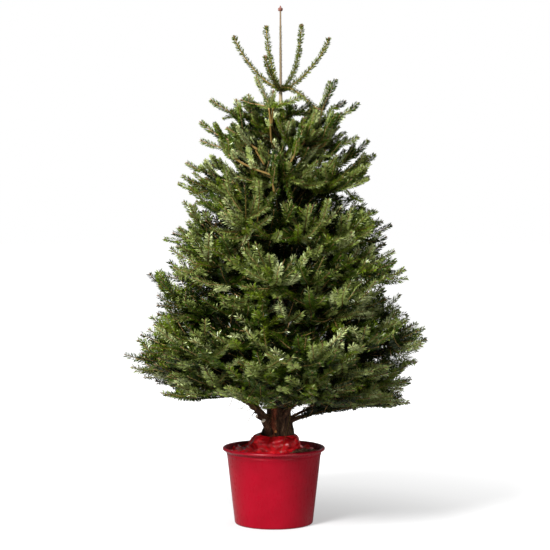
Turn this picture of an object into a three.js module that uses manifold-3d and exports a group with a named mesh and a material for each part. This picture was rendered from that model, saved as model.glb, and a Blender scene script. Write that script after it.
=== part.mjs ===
// A young fir kept as a Christmas tree in a red pot. Millimetres, +Z up, and the front looks along -Y.
// The origin is the centre of the pot's flat underside. The trunk runs whole from the compost to the
// leader's buds. Boughs leave it in whorls, one whorl a year, and each mass of foliage is one bough's
// fan of twigs and sprays, fused into a single solid.
import * as THREE from "three";
import { mergeVertices } from "three/addons/utils/BufferGeometryUtils.js";
import Module from "manifold-3d";

const wasm = await Module();
wasm.setup();

const SEED = 20;
const SEAT_GAP = 0.3; // between touching pieces
const LIMB_GAP = 1.2; // between a spray and a limb, or a spray of another mass

const HEIGHT = 1500; // floor to the tip of the leader's buds

const POT = {
  footRadius: 113.5,
  topRadius: 137, // outside, just under the lip
  shoulder: 206, // height where the wall turns out into the lip
  wall: 2.6,
  footRound: 6,
  lipRadius: 144.2, // to the centre of the rolled lip
  lipHeight: 218.5,
  lipRoll: 4.8, // radius of the roll
  segments: 28,
};

const COMPOST_TOP = 196;
const COMPOST_FALL = 6; // how much lower the compost is at the wall
const COMPOST_FLAT = 78; // radius of the level middle that the trunk stands on

const WRAP = {
  neckRadius: 67,
  neckHeight: 262,
  skirtRadius: 121,
  skirtThickness: 4,
  // from the skirt up to the neck: share of the neck's radius, and height above the skirt
  slope: [
    [1.32, 10],
    [1.12, 28],
  ],
  topShare: 0.86, // the neck draws in by this much at its very top
  topHeight: 8,
  folds: 9,
  foldDepth: 0.045,
  foldPitch: 9, // millimetres up for each radian that the folds turn
  segments: 24,
};

const TRUNK = {
  footX: 12, // the tree stands a little right of the pot's middle
  topX: 19, // and leans a little further right
  bow: 4,
  flareTop: 400, // the foot has lobes up to this height
  flareLobes: 5,
  flareDepth: 0.09,
  lobeTurn: 1, // in radians
  sides: 10,
  steps: 18,
  stepBias: 1.4, // over 1, the steps are closer at the foot
};
// Height and radius from the foot to the leader.
const TRUNK_TAPER = [
  [196, 56],
  [225, 50],
  [262, 43.5],
  [310, 35],
  [400, 29],
  [700, 20],
  [1000, 11.5],
  [1250, 4.8],
  [1275, 3.6],
  [1488, 2.3],
];
const TRUNK_GAP = 0.35; // between the trunk and what is cut round it

// The pruned branches that stand out of the trunk's foot.
const STUB = { radius: 6.5, footShare: 1.4, rise: 0.45, beyondTrunk: 9, sides: 6 };
const STUBS = [
  { turn: 236, height: 296 },
  { turn: 268, height: 272 },
  { turn: 318, height: 284 },
];
// The leader's own bud, and three smaller ones round its foot.
const BUD = { length: 13, radius: 4.2, sunk: 3, sideShare: 0.8, sideOut: 0.75, sideTurn: 30 };

const CROWN = {
  topWhorl: 1258, // height of the youngest whorl on the trunk
  firstGap: 168, // from it to the next whorl down
  gapRatio: 0.9, // each older year's gap against the one above
  counts: [5, 5, 5, 6, 6, 6, 6, 5], // boughs in each whorl under the youngest
  turns: [18, 54, 30, 32, 14, 38, 346, 6], // the way each of these whorls is turned, in degrees
  widestHeight: 525,
  widestReach: 446,
  taperAbove: 0.3, // reach lost for each millimetre above the widest height
  taperBelow: 0.34,
  flattest: 300, // the height on the trunk where a bough would rise by leastRise
  leastRise: 36,
  riseByHeight: 0.125, // more rise for each millimetre higher on the trunk
  youngBend: 1.35, // boughs curve up where this is over 1, and level off where it is under 1
  oldBend: 0.75,
  stagger: 0.3, // every other bough of a whorl leaves the trunk this share of the gap higher
  deepest: 140, // the most of a gap between whorls that one whorl's foliage fills
};
const BOUGH = {
  tipRadius: 2.2,
  radiusByReach: 0.0145, // more at the trunk for each millimetre of reach
  thinning: 0.8, // under 1, a bough thins fastest near the trunk
  // how far a bough may be off the rule, each way
  turnOff: 0.1, // share of the space between two boughs
  heightOff: 8,
  riseOff: 0.22, // share of its rise
  reachOff: 0.06, // share of its reach
  // the stem inside a mass, in shares of the reach
  stemFrom: 0.02,
  stemTo: 0.72,
};
// The oldest whorl is bare near the trunk, where its boughs climb from low down and then level off.
const OLDEST = { height: 284, rise: 90, bend: 0.55, bareShare: 0.34 };

// The youngest whorl: one year's shoots that curve up like candle arms round the leader.
const TOP_SHOOTS = [
  { name: "right", turn: 2, spread: 133, rise: 150 },
  { name: "back_right", turn: 62, spread: 118, rise: 188 },
  { name: "back_left", turn: 113, spread: 120, rise: 190 },
  { name: "left", turn: 180, spread: 135, rise: 154 },
  { name: "front_left", turn: 247, spread: 128, rise: 98 },
  { name: "front_right", turn: 316, spread: 148, rise: -42 },
];
const TOP_SHOOT = {
  bend: 1.75, // how the arms curve up
  droopBend: 2.6, // and how the hanging one curves down
  lift: 10,
  stagger: 6,
  footRadius: 3,
  tipRadius: 5.2, // the needles lie close, so the core is as thick as most of them reach
  coreFrom: 0.01, // share of the shoot where its core begins
  sides: 4,
  steps: 4,
  needles: 6,
  needlesFrom: 0.16, // shares of the shoot
  needlesTo: 0.94,
  needleForward: 11,
  needleOut: 9.5,
  needleFoot: 2.6, // radii
  needleTip: 0.4,
  needleTurnOff: 40, // degrees
};
const GOLDEN_ANGLE = 137.5; // degrees from one needle round a shoot to the next

const BARK = { color: 0x4a3526, roughness: 0.95, metalness: 0 };
const NEEDLES = { color: 0x4a5c27, roughness: 0.55, metalness: 0 };
const YOUNG_NEEDLES = { color: 0x8a8c45, roughness: 0.55, metalness: 0 };
const POT_RED = { color: 0xb5142a, roughness: 0.45, metalness: 0 };
const FILM_RED = { color: 0x8b1118, roughness: 0.2, metalness: 0 };
const COMPOST_BROWN = { color: 0x3a2c1c, roughness: 1, metalness: 0 };

// A number from 0 to 1 that depends only on its keys, so that every build grows the same tree.
function chance(...keys) {
  let h = SEED;
  for (const key of keys) {
    h = Math.imul(h ^ (key + 1), 0x9e3779b1) >>> 0;
    h = (h ^ (h >>> 15)) >>> 0;
  }
  h = Math.imul(h, 0x85ebca6b) >>> 0;
  return ((h ^ (h >>> 13)) >>> 0) / 4294967296;
}

const either = (...keys) => 2 * chance(...keys) - 1; // from -1 to 1
const { degToRad: radians, lerp, clamp } = THREE.MathUtils;

// The value at a place along a list of [place, value] pairs.
function along(pairs, place) {
  let k = 1;
  while (k < pairs.length - 1 && pairs[k][0] < place) k++;
  const [a, from] = pairs[k - 1];
  const [b, to] = pairs[k];
  return lerp(from, to, clamp((place - a) / (b - a), 0, 1));
}

function toSolid(geometry) {
  const shell = geometry.clone();
  shell.deleteAttribute("normal");
  shell.deleteAttribute("uv");
  const merged = mergeVertices(shell, 1e-4);
  return new wasm.Manifold(
    new wasm.Mesh({
      numProp: 3,
      vertProperties: merged.getAttribute("position").array,
      triVerts: new Uint32Array(merged.index.array),
    }),
  );
}

function toGeometry(made) {
  const { vertProperties, triVerts } = made.getMesh();
  const geometry = new THREE.BufferGeometry();
  geometry.setAttribute("position", new THREE.BufferAttribute(vertProperties, 3));
  geometry.setIndex(new THREE.BufferAttribute(triVerts, 1));
  geometry.computeVertexNormals();
  return geometry;
}

// Joins solids, and drops any scrap that ends up loose from the rest.
function fuse(solids) {
  const joined = solids.reduce((whole, next) => whole.add(next));
  return joined.decompose().reduce((a, b) => (a.volume() > b.volume() ? a : b));
}

// A closed limb along a path, pointAt(t) and radiusAt(t) for t from 0 to 1.
function limb(pointAt, radiusAt, sides, steps) {
  const geometry = new THREE.CylinderGeometry(1, 1, 1, sides, steps);
  const position = geometry.getAttribute("position");
  const dt = 0.02;
  for (let i = 0; i < position.count; i++) {
    const t = position.getY(i) + 0.5;
    const centre = pointAt(t);
    const heading = pointAt(Math.min(1, t + dt)).sub(pointAt(Math.max(0, t - dt))).normalize();
    const across = new THREE.Vector3(-heading.y, heading.x, 0).normalize();
    const third = across.clone().cross(heading);
    const radius = radiusAt(t);
    centre.addScaledVector(across, position.getX(i) * radius);
    centre.addScaledVector(third, position.getZ(i) * radius);
    position.setXYZ(i, centre.x, centre.y, centre.z);
  }
  return toSolid(geometry);
}

const TRUNK_FOOT = COMPOST_TOP + SEAT_GAP;
const TRUNK_TOP = HEIGHT - BUD.length;

function trunkCentre(height) {
  const t = (height - TRUNK_FOOT) / (TRUNK_TOP - TRUNK_FOOT);
  const bow = TRUNK.bow * Math.sin(Math.PI * t);
  return new THREE.Vector3(lerp(TRUNK.footX, TRUNK.topX, t) + bow, bow, height);
}

const trunkRadius = (height) => along(TRUNK_TAPER, height);

// The trunk's own shape, or one that is fatter all round by `grown`, to cut its neighbours clear.
function trunkSolid(grown) {
  const geometry = new THREE.CylinderGeometry(1, 1, 1, TRUNK.sides, TRUNK.steps);
  const position = geometry.getAttribute("position");
  for (let i = 0; i < position.count; i++) {
    const t = (position.getY(i) + 0.5) ** TRUNK.stepBias;
    const height = lerp(TRUNK_FOOT, TRUNK_TOP, t);
    const angle = Math.atan2(position.getZ(i), position.getX(i));
    const flare = Math.max(0, (TRUNK.flareTop - height) / (TRUNK.flareTop - TRUNK_FOOT));
    const wave = Math.cos(TRUNK.flareLobes * angle + TRUNK.lobeTurn);
    const lobes = 1 + TRUNK.flareDepth * flare * wave;
    const radius = trunkRadius(height) * lobes + grown;
    const centre = trunkCentre(height);
    position.setXYZ(
      i,
      centre.x + radius * position.getX(i),
      centre.y - radius * position.getZ(i),
      height,
    );
  }
  return toSolid(geometry);
}

function stubSolid({ turn, height }) {
  const centre = trunkCentre(height);
  const out = new THREE.Vector3(Math.cos(radians(turn)), Math.sin(radians(turn)), STUB.rise);
  const length = trunkRadius(height) + STUB.beyondTrunk;
  return limb(
    (t) => centre.clone().addScaledVector(out, t * length),
    (t) => STUB.radius * lerp(STUB.footShare, 1, t),
    STUB.sides,
    1,
  );
}

function leaderBuds() {
  const top = trunkCentre(TRUNK_TOP);
  const low = TRUNK_TOP - BUD.sunk;
  const bud = (x, y, length, radius) => {
    const geometry = new THREE.SphereGeometry(1, 6, 4);
    geometry.rotateX(Math.PI / 2);
    geometry.scale(radius, radius, length / 2);
    geometry.translate(top.x + x, top.y + y, low + length / 2);
    return toSolid(geometry);
  };
  const side = [0, 120, 240].map((degrees) => {
    const turn = radians(degrees + BUD.sideTurn);
    const out = BUD.radius * BUD.sideOut;
    const share = BUD.sideShare;
    return bud(Math.cos(turn) * out, Math.sin(turn) * out, BUD.length * share, BUD.radius * share);
  });
  return [bud(0, 0, BUD.length + BUD.sunk, BUD.radius), ...side];
}

const potRadius = (height) => lerp(POT.footRadius, POT.topRadius, height / POT.shoulder);

// Points round part of a circle in a lathe's profile, angles in degrees.
function arc(x, y, radius, from, to, count) {
  return Array.from({ length: count }, (_, k) => {
    const angle = radians(lerp(from, to, k / (count - 1)));
    return new THREE.Vector2(x + radius * Math.cos(angle), y + radius * Math.sin(angle));
  });
}

function lathe(points, segments) {
  const geometry = new THREE.LatheGeometry(points, segments);
  geometry.rotateX(Math.PI / 2);
  return toSolid(geometry);
}

function potSolid() {
  const { footRound: round, wall } = POT;
  return lathe(
    [
      new THREE.Vector2(0, 0),
      ...arc(potRadius(round) - round, round, round, -90, 0, 3),
      new THREE.Vector2(POT.topRadius, POT.shoulder),
      ...arc(POT.lipRadius, POT.lipHeight, POT.lipRoll, -110, 160, 8),
      new THREE.Vector2(POT.topRadius - wall, POT.shoulder - 2),
      new THREE.Vector2(potRadius(wall) - wall, wall),
      new THREE.Vector2(0, wall),
    ],
    POT.segments,
  );
}

function compostSolid() {
  const low = POT.wall + SEAT_GAP;
  const wallAt = (height) => potRadius(height) - POT.wall - 2 * SEAT_GAP;
  const edge = COMPOST_TOP - COMPOST_FALL;
  return lathe(
    [
      new THREE.Vector2(0, low),
      new THREE.Vector2(wallAt(low) - 1, low),
      new THREE.Vector2(wallAt(edge), edge),
      new THREE.Vector2(COMPOST_FLAT, COMPOST_TOP),
      new THREE.Vector2(0, COMPOST_TOP),
    ],
    POT.segments,
  );
}

// Plastic film gathered round the trunk's foot: a folded neck over a skirt that lies on the compost.
function wrapSolid() {
  const low = COMPOST_TOP + SEAT_GAP;
  const skirt = low + WRAP.skirtThickness;
  const neck = WRAP.neckRadius;
  const geometry = new THREE.LatheGeometry(
    [
      new THREE.Vector2(0, low),
      new THREE.Vector2(WRAP.skirtRadius, low),
      new THREE.Vector2(WRAP.skirtRadius, skirt),
      ...WRAP.slope.map(([share, height]) => new THREE.Vector2(neck * share, skirt + height)),
      new THREE.Vector2(neck, WRAP.neckHeight - WRAP.topHeight),
      new THREE.Vector2(neck * WRAP.topShare, WRAP.neckHeight),
      new THREE.Vector2(0, WRAP.neckHeight),
    ],
    WRAP.segments,
  );
  geometry.rotateX(Math.PI / 2);
  const position = geometry.getAttribute("position");
  const middle = trunkCentre(WRAP.neckHeight);
  for (let i = 0; i < position.count; i++) {
    const [x, y, z] = [position.getX(i), position.getY(i), position.getZ(i)];
    const wave = Math.sin(WRAP.folds * Math.atan2(y, x) + z / WRAP.foldPitch);
    const fold = 1 + WRAP.foldDepth * wave;
    const shift = z > skirt + 1 ? 1 : 0; // the neck is centred on the trunk, the skirt on the pot
    position.setXYZ(i, x * fold + shift * middle.x, y * fold + shift * middle.y, z);
  }
  return toSolid(geometry).subtract(trunkSolid(SEAT_GAP * 2));
}

const lastWhorl = CROWN.counts.length - 1;

function crownReach(height) {
  const above = height - CROWN.widestHeight;
  return CROWN.widestReach - (above > 0 ? CROWN.taperAbove * above : -CROWN.taperBelow * above);
}

// Every bough under the youngest whorl, each a year's gap below the whorl above it.
function growBoughs() {
  const boughs = [];
  let gap = CROWN.firstGap;
  let whorlHeight = CROWN.topWhorl;
  CROWN.counts.forEach((count, whorl) => {
    whorlHeight = whorl === lastWhorl ? OLDEST.height : whorlHeight - gap;
    for (let index = 0; index < count; index++) {
      boughs.push(makeBough(whorl, index, whorlHeight, gap));
    }
    gap *= CROWN.gapRatio;
  });
  return boughs;
}

// A bough's place, reach and path, each a little off the rule so that no two are alike.
function makeBough(whorl, index, whorlHeight, gap) {
  const off = (draw, most) => most * either(whorl, index, draw);
  const oldest = whorl === lastWhorl;
  const space = 360 / CROWN.counts[whorl];
  const turn = CROWN.turns[whorl] + space * (index + off(1, BOUGH.turnOff));
  const stagger = oldest ? 0 : CROWN.stagger * gap * ((index % 2) - 0.5);
  const root = trunkCentre(whorlHeight + stagger + off(2, BOUGH.heightOff));
  const usualRise = CROWN.leastRise + CROWN.riseByHeight * (whorlHeight - CROWN.flattest);
  const rise = oldest ? OLDEST.rise : usualRise * (1 + off(3, BOUGH.riseOff));
  const reach = crownReach(root.z + rise) * (1 + off(4, BOUGH.reachOff));
  const bend = oldest ? OLDEST.bend : lerp(CROWN.youngBend, CROWN.oldBend, whorl / lastWhorl);
  const thick = BOUGH.tipRadius + BOUGH.radiusByReach * reach;
  // A point of the bough's space: a share of the reach, degrees to the side, and height above it.
  const placeAt = (s, aside = 0, above = 0) => {
    const angle = radians(turn + aside);
    return new THREE.Vector3(
      root.x + reach * s * Math.cos(angle),
      root.y + reach * s * Math.sin(angle),
      root.z + rise * s ** bend + above,
    );
  };
  return {
    whorl,
    index,
    turn,
    reach,
    halfSpace: space / 2,
    depth: Math.min(gap, CROWN.deepest),
    placeAt,
    radiusAt: (s) => lerp(thick, BOUGH.tipRadius, s ** BOUGH.thinning),
  };
}

// One spray of needles: a toothed blade, thickest along its twig. Places along it are shares of its
// length, and widths are shares of its half width.
const SPRAY = {
  edge: [
    [0.52, 1],
    [0.64, 0.62],
    [0.85, 0.8],
  ],
  ridge: 0.58,
  ridgeHeight: 0.66,
  keelDepth: 0.5,
  tipLift: 0.1,
  width: 0.3, // half width against the length
  narrowest: 24,
  widest: 60,
  lengths: [1, 0.88, 0.76], // shares of the planned length that are tried in turn
};

function spraySolid(root, tip, roll) {
  const heading = tip.clone().sub(root);
  const length = heading.length();
  heading.normalize();
  const half = clamp(length * SPRAY.width, SPRAY.narrowest, SPRAY.widest);
  const across = new THREE.Vector3(-heading.y, heading.x, 0).normalize();
  across.applyAxisAngle(heading, roll);
  const up = heading.clone().cross(across);
  const place = (share, side, lift) =>
    root
      .clone()
      .addScaledVector(heading, share * length)
      .addScaledVector(across, side * half)
      .addScaledVector(up, lift * half);
  const right = SPRAY.edge.map(([share, side]) => place(share, -side, 0));
  const left = SPRAY.edge.map(([share, side]) => place(share, side, 0)).reverse();
  const outline = [place(0, 0, 0), ...right, place(1, 0, SPRAY.tipLift), ...left];
  const ridge = outline.length;
  const points = [
    ...outline,
    place(SPRAY.ridge, 0, SPRAY.ridgeHeight),
    place(SPRAY.ridge, 0, -SPRAY.keelDepth),
  ];
  const faces = outline.flatMap((_, k) => {
    const next = (k + 1) % outline.length;
    return [ridge, k, next, ridge + 1, next, k];
  });
  const geometry = new THREE.BufferGeometry().setFromPoints(points);
  geometry.setIndex(faces);
  return toSolid(geometry);
}

// The rows of sprays round the outside of a mass. Where they spring from and reach to are shares of
// the bough's reach, above is a share of the mass's depth, and apart is how far one is from the next
// in millimetres.
const SPRAY_ROWS = [
  { from: 0.6, to: 1, above: -0.04, apart: 166 },
  { from: 0.54, to: 0.94, above: 0.42, apart: 228 },
  { from: 0.52, to: 0.92, above: -0.42, apart: 262 },
  { from: 0.36, to: 0.7, above: 0.62, apart: 350 },
];
const SPRAY_PLAN = {
  // a spray springs from nearer the bough than its tip is: shares of the tip's place
  rootAside: 0.5,
  rootAbove: 0.35,
  rounding: 0.08, // share of the reach that a mass loses at its sides
  // how far a tip may be off the plan, each way
  reachOff: 0.05,
  turnOff: 3,
  aboveOff: 0.17,
  rollOff: 35, // degrees
  lowestUnderOldest: -0.1, // rows that hang further than this are left off the oldest whorl
};
// The dense inside of a mass, whose middle lies on the bough.
const CORE = {
  middle: 0.52,
  long: 0.3,
  wide: 0.8,
  high: 0.4,
  raise: 0.08, // share of the mass's depth
  twist: 0.4, // radians from one bough to the next
  sizes: [1, 0.86, 0.72, 0.58], // tried in turn
};

const limbs = []; // solids that no spray may touch
const taken = []; // { mass, made }: what stands in the crown so far

// Whether a solid keeps clear of the limbs and of the other masses.
function isClear(made, mass) {
  if (limbs.some((other) => made.minGap(other, LIMB_GAP) < LIMB_GAP)) return false;
  return !taken.some(
    (other) => other.mass !== mass && made.minGap(other.made, LIMB_GAP) < LIMB_GAP,
  );
}

function keep(mass, made) {
  mass.solids.push(made);
  taken.push({ mass, made });
}

function growCore(mass) {
  const { bough } = mass;
  const halfAngle = radians(bough.halfSpace);
  const tilt = bough.placeAt(CORE.middle + 0.1).sub(bough.placeAt(CORE.middle - 0.1));
  const centre = bough.placeAt(CORE.middle, 0, CORE.raise * bough.depth);
  for (const size of CORE.sizes) {
    const long = CORE.long * bough.reach * size;
    const widest = Math.sqrt((CORE.middle * bough.reach) ** 2 - long ** 2) * Math.tan(halfAngle);
    const geometry = new THREE.IcosahedronGeometry(1, 0);
    geometry.rotateZ(CORE.twist * bough.index);
    geometry.scale(long, CORE.wide * widest * size, CORE.high * bough.depth * size);
    geometry.rotateY(-Math.atan2(tilt.z, Math.hypot(tilt.x, tilt.y)));
    geometry.rotateZ(radians(bough.turn));
    geometry.translate(...centre.toArray());
    const made = toSolid(geometry);
    if (isClear(made, mass)) return keep(mass, made);
  }
}

// One row of a mass's sprays: where each springs from and its tip.
function planRow({ bough }, row) {
  const { from, to, above, apart } = SPRAY_ROWS[row];
  if (bough.whorl === lastWhorl && above < SPRAY_PLAN.lowestUnderOldest) return [];
  const width = 2 * radians(bough.halfSpace) * bough.reach * to;
  const count = Math.max(1, Math.round(width / apart));
  return Array.from({ length: count }, (_, column) => {
    const key = [bough.whorl, bough.index, row, column];
    const across = lerp(-1, 1, (column + 0.5) / count);
    const aside = bough.halfSpace * across;
    const off = (draw, most) => most * either(...key, draw);
    const reachShare =
      to * (1 - SPRAY_PLAN.rounding * across ** 2 + off(1, SPRAY_PLAN.reachOff));
    const root = bough.placeAt(
      from,
      SPRAY_PLAN.rootAside * aside,
      SPRAY_PLAN.rootAbove * above * bough.depth,
    );
    const tip = bough.placeAt(
      reachShare,
      aside + off(2, SPRAY_PLAN.turnOff),
      bough.depth * (above + off(3, SPRAY_PLAN.aboveOff)),
    );
    return { root, tip, roll: radians(off(4, SPRAY_PLAN.rollOff)) };
  });
}

// A spray as planned or, where that isn't clear, a shorter one, and none where that isn't either.
function growSpray(mass, { root, tip, roll }) {
  for (const share of SPRAY.lengths) {
    const made = spraySolid(root, root.clone().lerp(tip, share), roll);
    if (isClear(made, mass)) return keep(mass, made);
  }
}

// One top shoot: a slim curved core that short needles stand out of. Every other one leaves the trunk
// a little higher than its neighbours, so that their roots have room.
function topShootSolid({ turn, spread, rise }, index) {
  const root = trunkCentre(CROWN.topWhorl + TOP_SHOOT.stagger * (index % 2 ? 1 : -1));
  const out = new THREE.Vector3(Math.cos(radians(turn)), Math.sin(radians(turn)), 0);
  const bend = rise > 0 ? TOP_SHOOT.bend : TOP_SHOOT.droopBend;
  const pointAt = (s) =>
    root
      .clone()
      .addScaledVector(out, spread * s)
      .add(new THREE.Vector3(0, 0, rise * s ** bend + TOP_SHOOT.lift * s));
  const radiusAt = (s) => lerp(TOP_SHOOT.footRadius, TOP_SHOOT.tipRadius, Math.sqrt(s));
  const fromTrunk = (t) => pointAt(lerp(TOP_SHOOT.coreFrom, 1, t));
  const core = limb(fromTrunk, radiusAt, TOP_SHOOT.sides, TOP_SHOOT.steps);
  const needles = [];
  for (let k = 0; k < TOP_SHOOT.needles; k++) {
    const s = lerp(TOP_SHOOT.needlesFrom, TOP_SHOOT.needlesTo, k / (TOP_SHOOT.needles - 1));
    const heading = pointAt(s + 0.02).sub(pointAt(s - 0.02)).normalize();
    const across = new THREE.Vector3(-heading.y, heading.x, 0).normalize();
    const third = across.clone().cross(heading);
    const roll = radians(GOLDEN_ANGLE * k + TOP_SHOOT.needleTurnOff * chance(index, k, 9));
    const foot = pointAt(s);
    const tip = foot
      .clone()
      .addScaledVector(heading, TOP_SHOOT.needleForward)
      .addScaledVector(across, TOP_SHOOT.needleOut * Math.cos(roll))
      .addScaledVector(third, TOP_SHOOT.needleOut * Math.sin(roll));
    const needleRadius = (t) => lerp(TOP_SHOOT.needleFoot, TOP_SHOOT.needleTip, t);
    needles.push(limb((t) => foot.clone().lerp(tip, t), needleRadius, 3, 1));
  }
  return fuse([core, ...needles]);
}

const tree = new THREE.Group();

function addPiece(name, made, finish) {
  const mesh = new THREE.Mesh(toGeometry(made), new THREE.MeshStandardMaterial(finish));
  mesh.name = name;
  tree.add(mesh);
}

const trunk = fuse([trunkSolid(0), ...STUBS.map(stubSolid), ...leaderBuds()]);
const trunkClear = fuse([trunkSolid(TRUNK_GAP), ...STUBS.map(stubSolid)]);

addPiece("pot", potSolid(), POT_RED);
addPiece("compost", compostSolid(), COMPOST_BROWN);
addPiece("film_wrap", wrapSolid(), FILM_RED);
addPiece("trunk", trunk, BARK);
limbs.push(trunk);

TOP_SHOOTS.forEach((shoot, index) => {
  const made = fuse([topShootSolid(shoot, index).subtract(trunkClear)]);
  addPiece(`top_shoot_${shoot.name}`, made, YOUNG_NEEDLES);
  limbs.push(made);
});

const masses = growBoughs().map((bough) => ({ bough, solids: [] }));

// Each mass starts as its stem. The oldest boughs are limbs of their own up to their masses.
for (const mass of masses) {
  const { bough } = mass;
  const shape = (from, to, sides, steps) =>
    limb(
      (t) => bough.placeAt(lerp(from, to, t)),
      (t) => bough.radiusAt(lerp(from, to, t)),
      sides,
      steps,
    ).subtract(trunkClear);
  let stemFrom = BOUGH.stemFrom;
  if (bough.whorl === lastWhorl) {
    const bare = shape(stemFrom, OLDEST.bareShare, 6, 4);
    addPiece(`bough_${bough.index + 1}`, bare, BARK);
    limbs.push(bare);
    stemFrom = OLDEST.bareShare + SEAT_GAP / bough.reach;
  }
  keep(mass, shape(stemFrom, BOUGH.stemTo, 4, 2));
}
masses.forEach(growCore);

// Every mass gets its next spray in turn, so that none is starved of room.
SPRAY_ROWS.forEach((_, row) => {
  const plans = masses.map((mass) => planRow(mass, row));
  const most = Math.max(...plans.map((plan) => plan.length));
  for (let column = 0; column < most; column++) {
    plans.forEach((plan, m) => column < plan.length && growSpray(masses[m], plan[column]));
  }
});

for (const { bough, solids } of masses) {
  addPiece(`foliage_${bough.whorl + 1}_${bough.index + 1}`, fuse(solids), NEEDLES);
}

export default tree;
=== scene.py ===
import math

import bpy
import numpy as np
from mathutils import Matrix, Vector, noise


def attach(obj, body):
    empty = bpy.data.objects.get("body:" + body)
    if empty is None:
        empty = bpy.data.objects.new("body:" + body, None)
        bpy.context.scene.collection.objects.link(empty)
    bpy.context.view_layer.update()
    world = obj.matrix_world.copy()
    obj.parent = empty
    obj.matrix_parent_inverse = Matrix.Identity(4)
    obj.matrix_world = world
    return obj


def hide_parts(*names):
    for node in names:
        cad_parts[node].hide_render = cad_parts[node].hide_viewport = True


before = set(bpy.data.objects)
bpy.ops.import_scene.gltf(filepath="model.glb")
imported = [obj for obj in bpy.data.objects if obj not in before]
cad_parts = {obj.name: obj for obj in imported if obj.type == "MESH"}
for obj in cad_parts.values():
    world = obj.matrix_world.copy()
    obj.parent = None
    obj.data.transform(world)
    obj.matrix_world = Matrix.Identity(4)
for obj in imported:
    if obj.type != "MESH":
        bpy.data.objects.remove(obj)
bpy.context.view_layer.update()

mm = 0.001
up = Vector((0, 0, 1))


# Materials

def linear(hexColour):
    # sRGB hex, such as "b3142a", to linear red, green and blue, and an alpha of 1
    parts = [int(hexColour[k:k + 2], 16) / 255 for k in (0, 2, 4)]
    return [p / 12.92 if p <= 0.04045 else ((p + 0.055) / 1.055) ** 2.4 for p in parts] + [1.0]


def setStops(ramp, stops):
    # stops are (place, hex colour)
    while len(ramp.elements) < len(stops):
        ramp.elements.new(0.5)
    for element, (place, colour) in zip(ramp.elements, stops):
        element.position = place
        element.color = linear(colour)


def setInputs(tree, node, inputs):
    # each is a value, or the socket to link from
    for key, value in inputs.items():
        if isinstance(value, bpy.types.NodeSocket):
            tree.links.new(value, node.inputs[key])
        else:
            node.inputs[key].default_value = value


def addNode(tree, kind, output, inputs={}, settings={}):
    # adds a node with its settings and links, and gives back one of its outputs
    node = tree.nodes.new("ShaderNode" + kind)
    for key, value in settings.items():
        if key == "stops":
            setStops(node.color_ramp, value)
        else:
            setattr(node, key, value)
    setInputs(tree, node, inputs)
    return node.outputs[output]


def newMaterial(name, values):
    material = bpy.data.materials.new(name)
    material.use_nodes = True
    tree = material.node_tree
    shader = tree.nodes["Principled BSDF"]
    setInputs(tree, shader, values)
    material.diffuse_color = shader.inputs["Base Color"].default_value
    return material, tree, shader


def patternScale(sizeMm):
    # sizeMm is about how far apart a pattern's lumps are
    return 1 / (sizeMm * mm)


# specular levels of the pot's wall and rim, and the heights between which one turns to the other
potSheen = {"wall": 0.12, "rim": 0.28, "from": 0.209, "to": 0.213}


def makePotPlastic():
    # Polypropylene, injection moulded: an even red with a soft broad sheen and a little handling dust
    material, tree, shader = newMaterial("polypropyleneMoulded", {
        "IOR": 1.49, "Specular IOR Level": potSheen["wall"]})
    place = addNode(tree, "TexCoord", "Object")
    clouds = addNode(tree, "TexNoise", "Fac", {
        "Vector": place, "Scale": patternScale(60), "Detail": 4, "Roughness": 0.55})
    colour = addNode(tree, "ValToRGB", "Color", {"Fac": clouds}, {
        "stops": [(0.3, "820316"), (0.7, "8c041a")]})
    upright = addNode(tree, "Mapping", "Vector", {"Vector": place, "Scale": (1, 1, 0.25)})
    scuffs = addNode(tree, "TexNoise", "Fac", {
        "Vector": upright, "Scale": patternScale(7), "Detail": 5, "Roughness": 0.7})
    rough = addNode(tree, "MapRange", "Result", {
        "Value": scuffs, "From Min": 0.3, "From Max": 0.75, "To Min": 0.24, "To Max": 0.36})
    # the mould's spark grain is 0.3 mm, drawn coarser to show
    grain = addNode(tree, "TexNoise", "Fac", {
        "Vector": place, "Scale": patternScale(1.6), "Detail": 2, "Roughness": 0.55})
    relief = addNode(tree, "Bump", "Normal", {"Height": grain, "Distance": 0.05 * mm, "Strength": 1.0})
    # the rolled rim is handled most and is glossier than the wall
    height = addNode(tree, "SeparateXYZ", "Z", {"Vector": place})
    sheen = addNode(tree, "MapRange", "Result", {
        "Value": height, "From Min": potSheen["from"], "From Max": potSheen["to"],
        "To Min": potSheen["wall"], "To Max": potSheen["rim"]})
    setInputs(tree, shader, {
        "Base Color": colour, "Roughness": rough, "Specular IOR Level": sheen, "Normal": relief})
    return material


def makeFilm():
    # Polythene film, blown thin and crumpled: wet-looking glints on the creases over a deep red
    material, tree, shader = newMaterial("polytheneFilm", {"IOR": 1.51, "Specular IOR Level": 0.6})
    place = addNode(tree, "TexCoord", "Object")
    clouds = addNode(tree, "TexNoise", "Fac", {
        "Vector": place, "Scale": patternScale(26), "Detail": 4, "Roughness": 0.55})
    # the darkest of these reds stand partly for painted shade in folds, the brightest partly for painted
    # glints
    colour = addNode(tree, "ValToRGB", "Color", {"Fac": clouds}, {
        "stops": [(0.38, "9a0a13"), (0.5, "d0121c"), (0.62, "f0242e")]})
    creases = addNode(tree, "TexNoise", "Fac", {
        "Vector": place, "Scale": patternScale(9), "Detail": 6, "Roughness": 0.65})
    rough = addNode(tree, "MapRange", "Result", {
        "Value": creases, "From Min": 0.3, "From Max": 0.7, "To Min": 0.05, "To Max": 0.11})
    relief = addNode(tree, "Bump", "Normal", {"Height": creases, "Distance": 0.12 * mm, "Strength": 1.0})
    setInputs(tree, shader, {"Base Color": colour, "Roughness": rough, "Normal": relief})
    return material


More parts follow.
